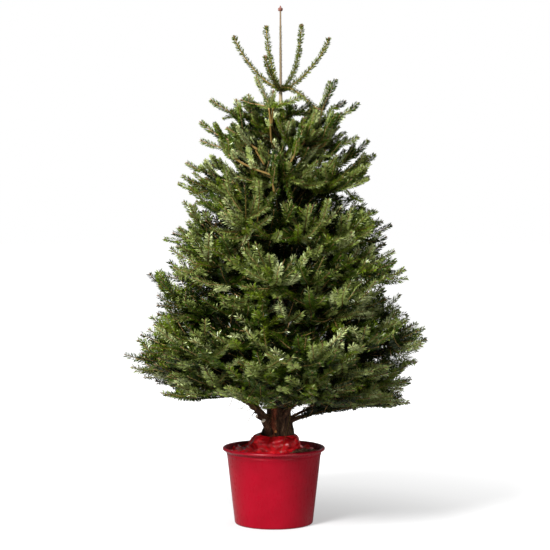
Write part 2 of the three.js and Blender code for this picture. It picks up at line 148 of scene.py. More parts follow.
def makeCompost():
    # Peat-free compost, damp: dark crumbs of several browns with no sheen
    material, tree, shader = newMaterial("compostDamp", {"Roughness": 0.92})
    place = addNode(tree, "TexCoord", "Object")
    crumbs = addNode(tree, "TexNoise", "Fac", {
        "Vector": place, "Scale": patternScale(5), "Detail": 6, "Roughness": 0.7})
    colour = addNode(tree, "ValToRGB", "Color", {"Fac": crumbs}, {
        "stops": [(0.3, "140c07"), (0.5, "2c1d11"), (0.62, "4a3320"), (0.75, "6d5234")]})
    relief = addNode(tree, "Bump", "Normal", {"Height": crumbs, "Distance": 2 * mm, "Strength": 1.0})
    setInputs(tree, shader, {"Base Color": colour, "Normal": relief})
    return material


def makeBarkChip():
    # Composted pine bark: flat reddish chips with paler broken edges
    material, tree, shader = newMaterial("pineBarkChips", {"Roughness": 0.85})
    place = addNode(tree, "TexCoord", "Object")
    flat = addNode(tree, "Mapping", "Vector", {"Vector": place, "Scale": (1, 1, 3)})
    layers = addNode(tree, "TexNoise", "Fac", {
        "Vector": flat, "Scale": patternScale(8), "Detail": 5, "Roughness": 0.65})
    colour = addNode(tree, "ValToRGB", "Color", {"Fac": layers}, {
        "stops": [(0.32, "2a1810"), (0.5, "5c3a24"), (0.68, "8d6844")]})
    grain = addNode(tree, "TexNoise", "Fac", {
        "Vector": place, "Scale": patternScale(3), "Detail": 4, "Roughness": 0.55})
    relief = addNode(tree, "Bump", "Normal", {"Height": grain, "Distance": 0.6 * mm, "Strength": 1.0})
    setInputs(tree, shader, {"Base Color": colour, "Normal": relief})
    return material


barkTurns = {"from": 0.45, "to": 1.0}  # heights between which the trunk's bark turns from old to young


def makeBark(name, stops, fissureMm, reliefMm, highStops=None):
    # Young fir bark: smooth grey-brown that splits lengthwise at the foot, with small resin blisters.
    # highStops are the young bark's colours, where it turns to them higher up.
    material, tree, shader = newMaterial(name, {"Roughness": 0.84, "Specular IOR Level": 0.15})
    place = addNode(tree, "TexCoord", "Object")
    along = addNode(tree, "Mapping", "Vector", {"Vector": place, "Scale": (1, 1, 0.3)})
    plates = addNode(tree, "TexNoise", "Fac", {
        "Vector": along, "Scale": patternScale(fissureMm), "Detail": 6, "Roughness": 0.62})
    colour = addNode(tree, "ValToRGB", "Color", {"Fac": plates}, {"stops": stops})
    if highStops:
        high = addNode(tree, "ValToRGB", "Color", {"Fac": plates}, {"stops": highStops})
        height = addNode(tree, "SeparateXYZ", "Z", {"Vector": place})
        share = addNode(tree, "MapRange", "Result", {
            "Value": height, "From Min": barkTurns["from"], "From Max": barkTurns["to"]})
        colour = addNode(tree, "Mix", 2, {0: share, 6: colour, 7: high}, {"data_type": "RGBA"})
    oval = addNode(tree, "Mapping", "Vector", {"Vector": place, "Scale": (1, 1, 0.8)})
    blisters = addNode(tree, "TexVoronoi", "Distance", {"Vector": oval, "Scale": patternScale(7)})
    lumps = addNode(tree, "Bump", "Normal", {"Height": blisters, "Distance": 0.25 * mm, "Strength": 1.0})
    relief = addNode(tree, "Bump", "Normal", {
        "Height": plates, "Distance": reliefMm * mm, "Strength": 1.0, "Normal": lumps})
    setInputs(tree, shader, {"Base Color": colour, "Normal": relief})
    return material


def makeCutWood(name, stops):
    # Fir end grain: pale where it is fresh, and browner in streaks where it has weathered
    material, tree, shader = newMaterial(name, {"Roughness": 0.7})
    place = addNode(tree, "TexCoord", "Object")
    grain = addNode(tree, "TexNoise", "Fac", {
        "Vector": place, "Scale": patternScale(3), "Detail": 3, "Roughness": 0.55})
    colour = addNode(tree, "ValToRGB", "Color", {"Fac": grain}, {"stops": stops})
    setInputs(tree, shader, {"Base Color": colour})
    return material


def plainMaterial(name, colour, roughness, shine=0.5):
    values = {"Base Color": linear(colour), "Roughness": roughness, "Specular IOR Level": shine}
    return newMaterial(name, values)[0]


potPlastic = makePotPlastic()
film = makeFilm()
compostDamp = makeCompost()
barkChip = makeBarkChip()
trunkBark = makeBark(
    "firBarkOld", [(0.32, "0a0502"), (0.47, "2c1b10"), (0.6, "503a28"), (0.74, "7c644c")], 7, 2.6,
    [(0.3, "6e624a"), (0.5, "968a6c"), (0.7, "b8ac90")])
innerBark = makeBark("firBarkInner", [(0.34, "2c140c"), (0.5, "6a3422"), (0.7, "96583a")], 5, 1.8)
boughBark = makeBark("firBarkYoung", [(0.3, "24160d"), (0.55, "463022"), (0.75, "7a5c40")], 5, 0.8)
# the fresh end grain is near white: its own pale colour, lifted further as a painted highlight on cuts in
# shade
cutWoods = [makeCutWood("firEndGrain", [(0.3, "f2dcb8"), (0.6, "fff6e6")]),
            makeCutWood("firEndGrainWeathered", [(0.3, "8a4a1c"), (0.6, "c07a38")])]
leaderBark = plainMaterial("firLeaderBark", "6a5a44", 0.62, 0.25)
twigWood = {
    # fir shoots are smooth and olive while they grow, tan in their first winter, then browner
    "young": plainMaterial("firTwigOlive", "85703a", 0.62, 0.2),
    "new": plainMaterial("firTwigTan", "927648", 0.62, 0.2),
    "old": plainMaterial("firTwigBrown", "604c22", 0.75, 0.2),
}
budScale = plainMaterial("firBudScale", "664c30", 0.5)
leaderBud = plainMaterial("firBudResinous", "6e4034", 0.5)

# A spray of needles has mainly one of these tints: the new growth is greyer and lighter than the old, the
# pale one is that of needles whose waxy underside shows and also a painted highlight on shoots that face the
# light, and the deep and oldest ones also stand for painted shade inside and low in the crown
needleTints = [plainMaterial("firNeedle" + name, *look) for name, *look in [
    ("GreyGreen", "6f7b3c", 0.28, 0.5),
    ("Mid", "2a3c03", 0.30, 0.3),
    ("YellowGreen", "52630f", 0.30, 0.4),
    ("Deep", "121f02", 0.34, 0.2),
    ("Oldest", "0e1401", 0.45, 0.15),
    ("Pale", "99a26c", 0.32, 0.5),
]]
youngNeedle = plainMaterial("firNeedleYoung", "4e5818", 0.40, 0.45)


# Mesh helpers

def newObject(name, data):
    thing = bpy.data.objects.new(name, data)
    bpy.context.scene.collection.objects.link(thing)
    return thing


def meshPiece(name, points, triangles, materials, slots=None, smooth=False):
    mesh = bpy.data.meshes.new(name)
    points = np.asarray(points, np.float32)
    triangles = np.asarray(triangles, np.int32)
    mesh.vertices.add(len(points))
    mesh.vertices.foreach_set("co", points.ravel())
    mesh.loops.add(triangles.size)
    mesh.loops.foreach_set("vertex_index", triangles.ravel())
    mesh.polygons.add(len(triangles))
    mesh.polygons.foreach_set("loop_start", np.arange(0, triangles.size, 3, dtype=np.int32))
    for material in materials:
        mesh.materials.append(material)
    if slots is not None:
        mesh.polygons.foreach_set("material_index", np.asarray(slots, np.int32))
    mesh.polygons.foreach_set("use_smooth", np.full(len(triangles), smooth))
    mesh.update(calc_edges=True)
    mesh.validate()
    print(name, len(triangles), "triangles")
    return newObject(name, mesh)


def gridTriangles(rows, columns, first=0):
    # triangles of a sheet of points, rows by columns, whose columns close into a ring
    r, c = np.meshgrid(np.arange(rows - 1), np.arange(columns), indexing="ij")
    a = (r * columns + c).ravel() + first
    b = (r * columns + (c + 1) % columns).ravel() + first
    d, e = a + columns, b + columns
    return np.concatenate([np.stack([a, b, e], 1), np.stack([a, e, d], 1)])


def closedGrid(rows, columns):
    # the same with its first and last row filled
    fan = np.array([[0, k + 1, k] for k in range(1, columns - 1)])
    return np.concatenate([gridTriangles(rows, columns), fan, fan[:, ::-1] + (rows - 1) * columns])


def unit(v):
    return v / np.maximum(np.linalg.norm(v, axis=-1, keepdims=True), 1e-9)


def tubes(paths, radii, sides):
    # many closed tubes of one kind: paths is (tubes, points, 3) and radii is (tubes, points)
    paths, radii = np.asarray(paths, float), np.asarray(radii, float)
    count, steps, _ = paths.shape
    heading = unit(np.gradient(paths, axis=1))
    side = unit(np.cross(heading, [0.13, 0.07, 1.0]))
    third = np.cross(side, heading)
    angles = np.arange(sides) * 2 * np.pi / sides
    ring = (side[:, :, None] * np.cos(angles)[None, None, :, None]
            + third[:, :, None] * np.sin(angles)[None, None, :, None])
    points = (paths[:, :, None] + ring * radii[:, :, None, None]).reshape(-1, 3)
    one = closedGrid(steps, sides)[:, ::-1]
    triangles = (one[None] + (np.arange(count) * steps * sides)[:, None, None]).reshape(-1, 3)
    return points, triangles


def lathe(profile, segments):
    # a closed turned shape: profile is (radius, height), and begins and ends on the axis
    rings = np.array(profile[1:-1])
    angles = np.arange(segments) * 2 * np.pi / segments
    x = rings[:, 0, None] * np.cos(angles)
    y = rings[:, 0, None] * np.sin(angles)
    z = rings[:, 1, None] + 0 * angles
    count, last = len(rings) * segments, (len(rings) - 1) * segments
    ends = [[0, 0, profile[0][1]], [0, 0, profile[-1][1]]]
    points = np.concatenate([np.stack([x, y, z], 2).reshape(-1, 3), ends])
    k = np.arange(segments)
    after = (k + 1) % segments
    low = np.stack([k * 0 + count, after, k], 1)
    top = np.stack([k * 0 + count + 1, last + k, last + after], 1)
    return points, np.concatenate([gridTriangles(len(rings), segments), low, top])


def arc(x, z, radius, start, end, steps):
    angles = np.radians(np.linspace(start, end, steps))
    return [(x + radius * math.cos(a), z + radius * math.sin(a)) for a in angles]


def ridged(point, sizeMm, octaves=3):
    # noise with sharp crests, from 0 to about 1, whose lumps are about sizeMm apart
    value, scale, strength, total = 0.0, 1 / (sizeMm * mm), 1.0, 0.0
    for _ in range(octaves):
        value += strength * (1 - abs(noise.noise(Vector(point) * scale)) * 2)
        total += strength
        scale *= 2.1
        strength *= 0.5
    return max(0.0, value / total)


def bumps(rows, angle, height, radius):
    # how far they stand out at a place on a round wall: a row is a turn in degrees, height, depth and width
    out = 0.0
    for turn, high, depth, wide in rows:
        aside = math.remainder(angle - math.radians(turn), 2 * math.pi) * radius
        out += depth * math.exp(-(aside ** 2 + (height - high) ** 2) / wide ** 2)
    return out


def joined(parts):
    # joins (points, triangles) pairs into one
    first, allPoints, allTriangles = 0, [], []
    for points, triangles in parts:
        allPoints.append(points)
        allTriangles.append(triangles + first)
        first += len(points)
    return np.concatenate(allPoints), np.concatenate(allTriangles)


def seat(piece, nodes=()):
    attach(piece, "root")
    if nodes:
        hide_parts(*nodes)


# The growing rule, as the model's source has it, in metres

seed = 20

trunkSizes = {
    "foot": 0.1963,
    "top": 1.487,
    "footX": 0.012,
    "topX": 0.019,
    "bow": 0.004,
    # height and radius
    "taper": [(0.196, 0.056), (0.225, 0.050), (0.262, 0.0435), (0.310, 0.035), (0.400, 0.029),
              (0.700, 0.020), (1.000, 0.0115), (1.250, 0.0048), (1.275, 0.0036), (1.488, 0.0023)],
}

crown = {
    "topWhorl": 1.258,
    "firstGap": 0.168,  # from the youngest whorl down to the next, and each gap below is less by gapRatio
    "gapRatio": 0.9,
    "counts": [5, 5, 5, 6, 6, 6, 6, 5],  # boughs of each whorl, the youngest first
    "turns": [18, 54, 30, 32, 14, 38, 346, 6],  # of each whorl's first bough, degrees
    "widestHeight": 0.525,
    "widestReach": 0.446,
    "taperAbove": 0.3,  # reach lost for each metre above the widest height
    "taperBelow": 0.34,
    "flattest": 0.300,  # height of a whorl whose boughs would rise by leastRise
    "leastRise": 0.036,
    "riseByHeight": 0.125,
    "youngBend": 1.35,  # a bough rises by its share of the reach to this power
    "oldBend": 0.75,
    "stagger": 0.3,  # share of the gap by which neighbours start higher and lower
    "deepest": 0.140,  # depth of a fan of sprays, at most
    # how much single boughs differ: in turn, height, rise and reach
    "spreads": {"turn": 0.1, "height": 0.008, "rise": 0.22, "reach": 0.06},
    "thin": 0.0022,  # a bough's radius at its tip
    "thickByReach": 0.0145,  # and how much more at its root, for each metre of its reach
}
oldest = {
    "height": 0.284,
    "rise": 0.090,
    # the dressed boughs each have a rise of their own round this one, and start a little lower or higher
    "rises": [0.072, 0.095, 0.198, 0.198, 0.130],
    "drops": [0.005, 0.0, 0.026, 0.026, 0.0],
    "levellings": [0.33, 0.33, 0.50, 0.50, 0.33],  # share of the reach over which each levels off
}
lastWhorl = len(crown["counts"]) - 1


def chance(*keys):
    # from 0 to 1, and the same for the same keys
    h = seed
    for key in keys:
        h = ((h ^ (key + 1)) * 0x9E3779B1) & 0xFFFFFFFF
        h ^= h >> 15
    h = (h * 0x85EBCA6B) & 0xFFFFFFFF
    return (h ^ (h >> 13)) / 4294967296


def either(*keys):
    return 2 * chance(*keys) - 1


def lerp(a, b, t):
    return a + (b - a) * t


def trunkRadius(height):
    return float(np.interp(height, *zip(*trunkSizes["taper"])))


def trunkCentre(height):
    t = (height - trunkSizes["foot"]) / (trunkSizes["top"] - trunkSizes["foot"])
    bow = trunkSizes["bow"] * math.sin(math.pi * t)
    return Vector((lerp(trunkSizes["footX"], trunkSizes["topX"], t) + bow, bow, height))


def outAt(angle, climb=0.0):
    # the way out from the trunk at an angle in radians, level or climbing
    return Vector((math.cos(angle), math.sin(angle), climb))


def crownReach(height):
    above = height - crown["widestHeight"]
    return crown["widestReach"] - (crown["taperAbove"] * above if above > 0 else -crown["taperBelow"] * above)


def sideOf(place):
    # from -1 at the left of the pot's axis to 1 at its right, and 0 in front and behind
    return place.x / max(math.hypot(place.x, place.y), 0.01)


def leftToRight(place, table, by, at, keys):
    # a table's values at a number, on the left and the right, in the shares that a place calls for
    left, right = (float(np.interp(at, table[by], table[key])) for key in keys)
    return lerp(left, right, 0.5 + 0.5 * sideOf(place))


# how far the foliage reaches from the pot's axis, by height, on the left and the right
outline = {
    "height": [0.328, 0.386, 0.444, 0.503, 0.532, 0.590, 0.648, 0.707, 0.736, 0.765, 0.823,
               0.865, 0.905, 0.940, 0.970, 0.998, 1.035, 1.065, 1.085, 1.115, 1.173, 1.231],
    "left": [0.345, 0.372, 0.415, 0.434, 0.436, 0.378, 0.362, 0.378, 0.374, 0.268, 0.326,
             0.288, 0.235, 0.262, 0.288, 0.288, 0.205, 0.168, 0.165, 0.170, 0.165, 0.130],
    "right": [0.355, 0.365, 0.410, 0.446, 0.450, 0.412, 0.306, 0.410, 0.404, 0.312, 0.314,
              0.338, 0.282, 0.282, 0.288, 0.292, 0.238, 0.252, 0.232, 0.180, 0.184, 0.130],
    "frontAndBack": 0.975,  # share of that reach in front and behind
    "needles": -0.004,  # how far short of it twigs stop, and below 0 they pass it
    "slack": 0.012,  # how far side shoots may pass it
}


def outlineShare(place):
    # the crown's own outline against the rule's even one, at a place
    reach = leftToRight(place, outline, "height", place.z, ("left", "right"))
    reach = reach * lerp(outline["frontAndBack"], 1, sideOf(place) ** 2) - outline["needles"]
    return reach / crownReach(place.z)


# how low the foliage hangs, by the way it points: degrees from the right, and metres
skirt = {
    "turn": [0, 60, 120, 170, 200, 225, 250, 270, 300, 330, 360],
    "height": [0.350, 0.362, 0.382, 0.402, 0.424, 0.448, 0.450, 0.404, 0.394, 0.374, 0.350],
    # it hangs lower round the trunk and at the outside, and most on the left
    "out": [0.06, 0.14, 0.20, 0.25, 0.30, 0.36],
    "droopLeft": [0.080, -0.014, -0.014, 0.036, 0.060, 0.062],
    "droopRight": [0.100, 0.060, 0.012, 0.010, 0.006, 0],
}


def skirtHeight(place):
    turn = math.degrees(math.atan2(place.y, place.x)) % 360
    droop = leftToRight(place, skirt, "out", math.hypot(place.x, place.y), ("droopLeft", "droopRight"))
    return float(np.interp(turn, skirt["turn"], skirt["height"])) - droop


class Bough:
    def __init__(self, whorl, index, whorlHeight, gap):
        def off(draw, what):
            return crown["spreads"][what] * either(whorl, index, draw)

        isOldest = whorl == lastWhorl
        space = 360 / crown["counts"][whorl]
        self.whorl, self.index = whorl, index
        self.turn = crown["turns"][whorl] + space * (index + off(1, "turn"))
        stagger = 0 if isOldest else crown["stagger"] * gap * ((index % 2) - 0.5)
        self.root = trunkCentre(whorlHeight + stagger + off(2, "height"))
        usualRise = crown["leastRise"] + crown["riseByHeight"] * (whorlHeight - crown["flattest"])
        self.rise = oldest["rise"] if isOldest else usualRise * (1 + off(3, "rise"))
        self.reach = crownReach(self.root.z + self.rise) * (1 + off(4, "reach"))
        self.bend = lerp(crown["youngBend"], crown["oldBend"], whorl / lastWhorl)
        self.isOldest = isOldest
        if isOldest:
            self.rise = oldest["rises"][index]
            self.levelling = oldest["levellings"][index]
            self.root.z -= oldest["drops"][index]
        self.thick = crown["thin"] + crown["thickByReach"] * self.reach
        self.halfSpace = space / 2
        self.depth = min(gap, crown["deepest"])

    def risen(self, s):
        # share of the rise at a share of the reach
        if not self.isOldest:
            return s ** self.bend
        return (1 - math.exp(-s / self.levelling)) / (1 - math.exp(-1 / self.levelling))

    def placeAt(self, s, aside=0.0, above=0.0):
        angle = math.radians(self.turn + aside)
        far = self.reach * s
        height = self.root.z + self.rise * self.risen(s) + above
        return Vector((self.root.x + far * math.cos(angle), self.root.y + far * math.sin(angle), height))

    def radiusAt(self, s):
        return lerp(self.thick, crown["thin"], s ** 0.8)


def growBoughs():
    boughs, gap, whorlHeight = [], crown["firstGap"], crown["topWhorl"]
    for whorl, count in enumerate(crown["counts"]):
        whorlHeight = oldest["height"] if whorl == lastWhorl else whorlHeight - gap
        boughs += [Bough(whorl, index, whorlHeight, gap) for index in range(count)]
        gap *= crown["gapRatio"]
    return boughs


boughs = growBoughs()
print("boughs", len(boughs))


# Twigs and shoots

growth = {
    "finer": 0.52,  # the source's spacing of sprays, carried to finer twigs
    "yearTop": 0.130,  # a year's growth at a tip, young boughs
    "yearLow": 0.088,  # and old ones
    "splay": 50,  # degrees from a twig to its side shoots
    "sideLength": 0.88,  # of a side shoot, against the year's growth
    "sideShare": 0.92,  # how many of a twig's side shoots grow, and of a side shoot's own
    "sideShareFine": 0.86,
    "raisedShare": 0.4,  # how many nodes bear a shoot above as well
    "budShare": 0.55,  # how many side shoots end in a bud
    "olderSide": 1.5,  # length of a two-year side shoot, against one of this year
    # how much single shoots differ, least and most
    "yearSpread": (0.88, 1.12),
    "sideSpread": (0.8, 1.1),
    "liftSpread": (0.5, 1.4),
    "fineLength": (0.34, 0.5),  # of a side shoot's own side shoots, against its length
    "raisedLength": (0.45, 0.7),  # of a shoot above a node, against the year's growth
    "raisedClimb": (0.45, 0.8),
    "raisedAside": 0.35,
    "fineRadius": 0.0008,  # of a side shoot's tip, and its foot is thicker by radiusByAge for each year
    "radiusByAge": 0.0003,
    "middle": (0.53, 0.28),  # a side shoot's middle point, as shares of its length and of its lift
    "shortened": 0.4,  # least share of its length that is left where it would pass the outline
    "splaySpread": 9,  # degrees
    "splaySpreadFine": 8,
    # each of these goes from the youngest whorl to the oldest
    "tipRise": [48, 54, 52, 36, 6],  # degrees above level that the tips point
    "sideLift": [0.28, 0.3, 0.3, 0.24, 0.1],  # how far side shoots curve up, against their length
    "finerByWhorl": [0.85, 0.9, 1.0, 1.0, 1.0],  # spacing of sprays, against the general one
    "heightByWhorl": [0.65, 0.95, 1.2, 1.15, 1.1],  # how deep the fan of sprays is, against the source's
    "oldestAge": [2, 2, 3, 4, 4],  # age of the oldest needles
    "mostYears": 4,  # years back from the tip that a twig bears needles and side shoots
    "leastLength": 0.02,  # and the length from its foot that stays bare of them
    "bareUnder": 0.022,  # how far under the crown's lower edge shoots may still hang
    "highest": 1.212,  # top of the general foliage, near the crown's middle
    "shoulder": 0.35,  # how steeply the crown's top falls away, past 0.1 from its middle
    "innerStart": 0.42,  # share of a bough's reach where its foliage begins
}
# rows of sprays in a bough's fan: share of its reach, height against the fan's depth, and metres between them
sprayRows = [
    {"to": 1.0, "above": -0.04, "apart": 0.166},
    {"to": 0.94, "above": 0.42, "apart": 0.228},
    {"to": 0.92, "above": -0.42, "apart": 0.262},
    {"to": 0.70, "above": 0.62, "apart": 0.350},
    {"to": 0.50, "above": 0.1, "apart": 0.300},
]

draw = np.random.default_rng(seed)
shoots = []  # each shoot that bears needles: [start, middle, end], up, age, length, style
twigs = {}  # points in a path -> list of (path, radii, age)
buds = []  # place, heading, size
budSizes = {"side": 0.0019, "twig": 0.0025, "candle": 0.0032}


def rand(low=0.0, high=1.0):
    return low + (high - low) * float(draw.random())


def byAge(values, whorl):
    return float(np.interp(whorl / lastWhorl, np.linspace(0, 1, len(values)), values))


def bezier(a, b, c, d, t):
    u = 1 - t
    return a * u ** 3 + b * (3 * u * u * t) + c * (3 * u * t * t) + d * t ** 3


def addTwig(path, thick, thin, age):
    radii = np.linspace(thick, thin, len(path))
    twigs.setdefault(len(path), []).append(([tuple(p) for p in path], radii, age))


def addBud(place, heading, kind):
    buds.append((tuple(place), tuple(heading.normalized()), budSizes[kind]))


def ceiling(place):
    # the general foliage stops here, and only single shoots stand above it
    return growth["highest"] - growth["shoulder"] * max(0, math.hypot(place.x, place.y) - 0.1)


def isBare(place, whorl):
    # the oldest boughs bear nothing under the crown's lower edge
    isLow = whorl >= lastWhorl - 1 and place.z < skirtHeight(place) - growth["bareUnder"]
    return isLow or place.z > ceiling(place)


def addShoot(points, age, style, topSide):
    length = (points[1] - points[0]).length + (points[2] - points[1]).length
    shoots.append((points, tuple(topSide), age, length, style))


def outside(place):
    # how far a place lies outside the crown's outline
    return math.hypot(place.x, place.y) - crownReach(place.z) * outlineShare(place) - outline["slack"]


def turnedBy(heading, across, sign, spread, topSide):
    # the heading of a side shoot on one side of its twig
    angle = math.radians(growth["splay"] + rand(-spread, spread))
    sideways = heading * math.cos(angle) + across * (sign * math.sin(angle))
    return (sideways + topSide * (0.08 + rand(-0.12, 0.12))).normalized()


def growSide(start, heading, topSide, length, age, whorl):
    # a side shoot that turns a little up, with side shoots of its own where it is two years old
    if isBare(start, whorl) or isBare(start + heading * length, whorl):
        return
    lift = byAge(growth["sideLift"], whorl) * rand(*growth["liftSpread"])
    beyond = outside(start + heading * length)
    if beyond > 0:
        length = max(growth["shortened"] * length, length - 1.5 * beyond)
    end = start + heading * length + up * (lift * length)
    along, risen = growth["middle"]
    middle = start + heading * (along * length) + up * (risen * lift * length)
    thin = growth["fineRadius"]
    addTwig([start, middle, end], thin + growth["radiusByAge"] * age, thin, age)
    if rand() < growth["budShare"]:
        addBud(end, end - middle, "side")
    if age == 1:
        addShoot([start, middle, end], 1, whorl + 1, topSide)
        return
    addShoot([start, start.lerp(middle, 0.5), middle], 2, whorl + 1, topSide)
    addShoot([middle, middle.lerp(end, 0.5), end], 1, whorl + 1, topSide)
    across = heading.cross(topSide).normalized()
    for sign in (-1, 1):
        if rand() < growth["sideShareFine"]:
            turned = turnedBy(heading, across, sign, growth["splaySpreadFine"], topSide)
            growSide(middle, turned, topSide, length * rand(*growth["fineLength"]), 1, whorl)


def growAxis(path, topSide, year, whorl, thick):
    # a twig along a path, youngest at its tip, whose side shoots spring from each year's node
    addTwig(path, thick, 0.001, 3)
    lengths = [(path[k + 1] - path[k]).length for k in range(len(path) - 1)]
    total = sum(lengths)
    places = np.concatenate([[0], np.cumsum(lengths)])
    coordinates = np.array([tuple(p) for p in path])

    def at(distance):
        return Vector([float(np.interp(distance, places, coordinates[:, k])) for k in range(3)])

    addBud(path[-1], path[-1] - path[-2], "twig")
    outer, age, oldestAge = total, 1, round(byAge(growth["oldestAge"], whorl))
    while outer > growth["leastLength"] and age <= growth["mostYears"]:
        inner = max(0.0, outer - year * rand(*growth["yearSpread"]))
        if not isBare(at((inner + outer) / 2), whorl):
            addShoot([at(inner), at((inner + outer) / 2), at(outer)], min(age, oldestAge), whorl + 1, topSide)
        if inner > 0.01:
            node = at(inner)
            heading = (at(min(total, inner + 0.03)) - at(max(0, inner - 0.02))).normalized()
            across = heading.cross(topSide).normalized()
            for sign in (-1, 1):
                if rand() < growth["sideShare"]:
                    turned = turnedBy(heading, across, sign, growth["splaySpread"], topSide)
                    length = year * growth["sideLength"] * rand(*growth["sideSpread"])
                    length *= 1.0 if age == 1 else growth["olderSide"]
                    growSide(node, turned, topSide, length, min(age, 2), whorl)
            if rand() < growth["raisedShare"]:
                climb, off = rand(*growth["raisedClimb"]), rand(-growth["raisedAside"], growth["raisedAside"])
                raised = (heading * 0.75 + topSide * climb + across * off).normalized()
                growSide(node, raised, topSide, year * rand(*growth["raisedLength"]), 1, whorl)
        outer, age = inner, age + 1


def yearsGrowth(share):
    return lerp(growth["yearTop"], growth["yearLow"], min(1, share) ** 0.7)


# single sprays where the fans leave a gap: whorl, index, degrees aside, and height against the fan's depth
gapSprays = [
    (2, 3, 38, 0.3), (2, 4, -42, 0.1), (1, 3, 5, -0.75), (1, 3, -12, -0.8), (1, 3, 12, -0.5),
    (1, 3, 28, -0.5), (2, 4, -25, 0.6), (2, 4, -36, 0.5), (2, 4, -30, -0.35), (2, 3, 12, -0.7),
    (2, 2, 8, 0.5), (2, 2, -10, 0.7), (3, 3, -6, -0.7), (3, 4, -20, -0.55), (4, 3, -5, 0.75),
    (4, 3, 12, 0.6), (2, 3, -10, -0.6), (3, 3, 8, -0.68), (3, 3, 24, -0.6), (3, 4, -8, 0.8),
    (3, 4, 15, 0.5), (3, 5, -25, 0.2), (4, 4, -25, 0.55), (4, 5, -10, -0.6), (5, 3, 15, 0.5),
    (5, 3, 27, -0.25), (5, 3, 34, 0.3), (5, 4, -25, 0.0), (5, 4, 10, 0.6), (5, 5, -25, 0.3),
    (6, 4, 26, 0.5), (6, 5, -25, 0.5),
]
gapReach = 0.95  # share of the outline that they reach


def growMass(bough):
    share = bough.whorl / lastWhorl
    year = yearsGrowth(share)
    end = outlineShare(bough.placeAt(1))
    main = [bough.placeAt(s) for s in np.linspace(growth["innerStart"], end, 8)]
    for k, place in enumerate(main):
        place.z += max(0, skirtHeight(place) - place.z) * min(1, k / 4)
    growAxis(main, up, year, bough.whorl, bough.radiusAt(growth["innerStart"]))
    for row, plan in enumerate(sprayRows):
        width = 2 * math.radians(bough.halfSpace) * bough.reach * plan["to"]
        apart = plan["apart"] * growth["finer"] * byAge(growth["finerByWhorl"], bough.whorl)
        count = max(2, round(width / apart))
        for column in range(count):
            across = lerp(-1, 1, (column + 0.5) / count)
            aside = bough.halfSpace * across
            key = (bough.whorl, bough.index, row, column, 7)
            to = plan["to"] * (1 - 0.08 * across ** 2 + 0.07 * either(*key, 1))
            deep = bough.depth * byAge(growth["heightByWhorl"], bough.whorl)
            above = deep * (plan["above"] + 0.3 * either(*key, 2))
            to *= outlineShare(bough.placeAt(to, aside, above))
            tip = bough.placeAt(to, aside + 3 * either(*key, 3), above)
            lowest = skirtHeight(tip)
            if tip.z < lowest + 0.03:
                tip.z = lowest + 0.035 * chance(*key, 8)
            tip.z = min(tip.z, ceiling(tip) - 0.03)
            growBranchlet(bough, tip, to, aside, year, key)


def growGapSprays():
    for number, (whorl, index, aside, above) in enumerate(gapSprays):
        bough = next(b for b in boughs if (b.whorl, b.index) == (whorl, index))
        height = bough.depth * above
        to = gapReach * outlineShare(bough.placeAt(gapReach, aside, height))
        tip = bough.placeAt(to, aside, height)
        growBranchlet(bough, tip, to, aside, yearsGrowth(whorl / lastWhorl), (number, 51))


branchlet = {
    "inward": 0.1,  # share of the reach that it starts further in than its angle asks, up to twice over
    "innermost": 0.16,
    "shortest": 0.22,
    "riseSpread": 18,
    "tilt": 0.35,
    "pull": 0.35,  # how far out its curve's inner control points are, against its length
    "thick": 0.0024,
}


def growBranchlet(bough, tip, to, aside, year, key):
    # it leaves the bough at the fir's own angle, and turns outward and up to its tip
    angle, inward = math.radians(aside), branchlet["inward"]
    start = to * (math.cos(angle) - abs(math.sin(angle)) / math.tan(math.radians(growth["splay"])))
    start = max(start - inward - inward * chance(*key, 4), branchlet["innermost"])
    start = min(start, to - branchlet["shortest"])
    root = bough.placeAt(start)
    gap = (tip - root).length
    ahead = (bough.placeAt(start + 0.05) - bough.placeAt(start - 0.05)).normalized()
    toward = (tip - root).normalized()
    outward = Vector((tip.x - bough.root.x, tip.y - bough.root.y, 0)).normalized()
    rise = math.radians(byAge(growth["tipRise"], bough.whorl) + branchlet["riseSpread"] * either(*key, 5))
    tipHeading = (outward * math.cos(rise) + up * math.sin(rise) + toward * 0.8).normalized()
    first = root + (ahead * 0.3 + toward * 0.9).normalized() * (branchlet["pull"] * gap)
    second = tip - tipHeading * (branchlet["pull"] * gap)
    path = [bezier(root, first, second, tip, t) for t in np.linspace(0, 1, 8)]
    tilt = Vector((either(*key, 6), either(*key, 7), 0)) * branchlet["tilt"]
    growAxis(path, (up + tilt).normalized(), year, bough.whorl, branchlet["thick"])


trunkTwigs = {
    "each": 7,  # twigs at each height
    "alsoAt": {0.36, 0.42, 1.06, 1.11},  # heights besides the whorls' own
    "above": (0.03, 0.05),  # how far above that they start, and how much single twigs differ
    "length": (0.10, 0.10),  # least, and how much longer at most
    "climbs": [(0.45, -0.15), (1.0, 0.35), (2.0, 0.05)],  # up to this height, how steeply they climb at least
    "climbMore": 0.5,
    "curve": 0.25,
    "thick": 0.0018,
}


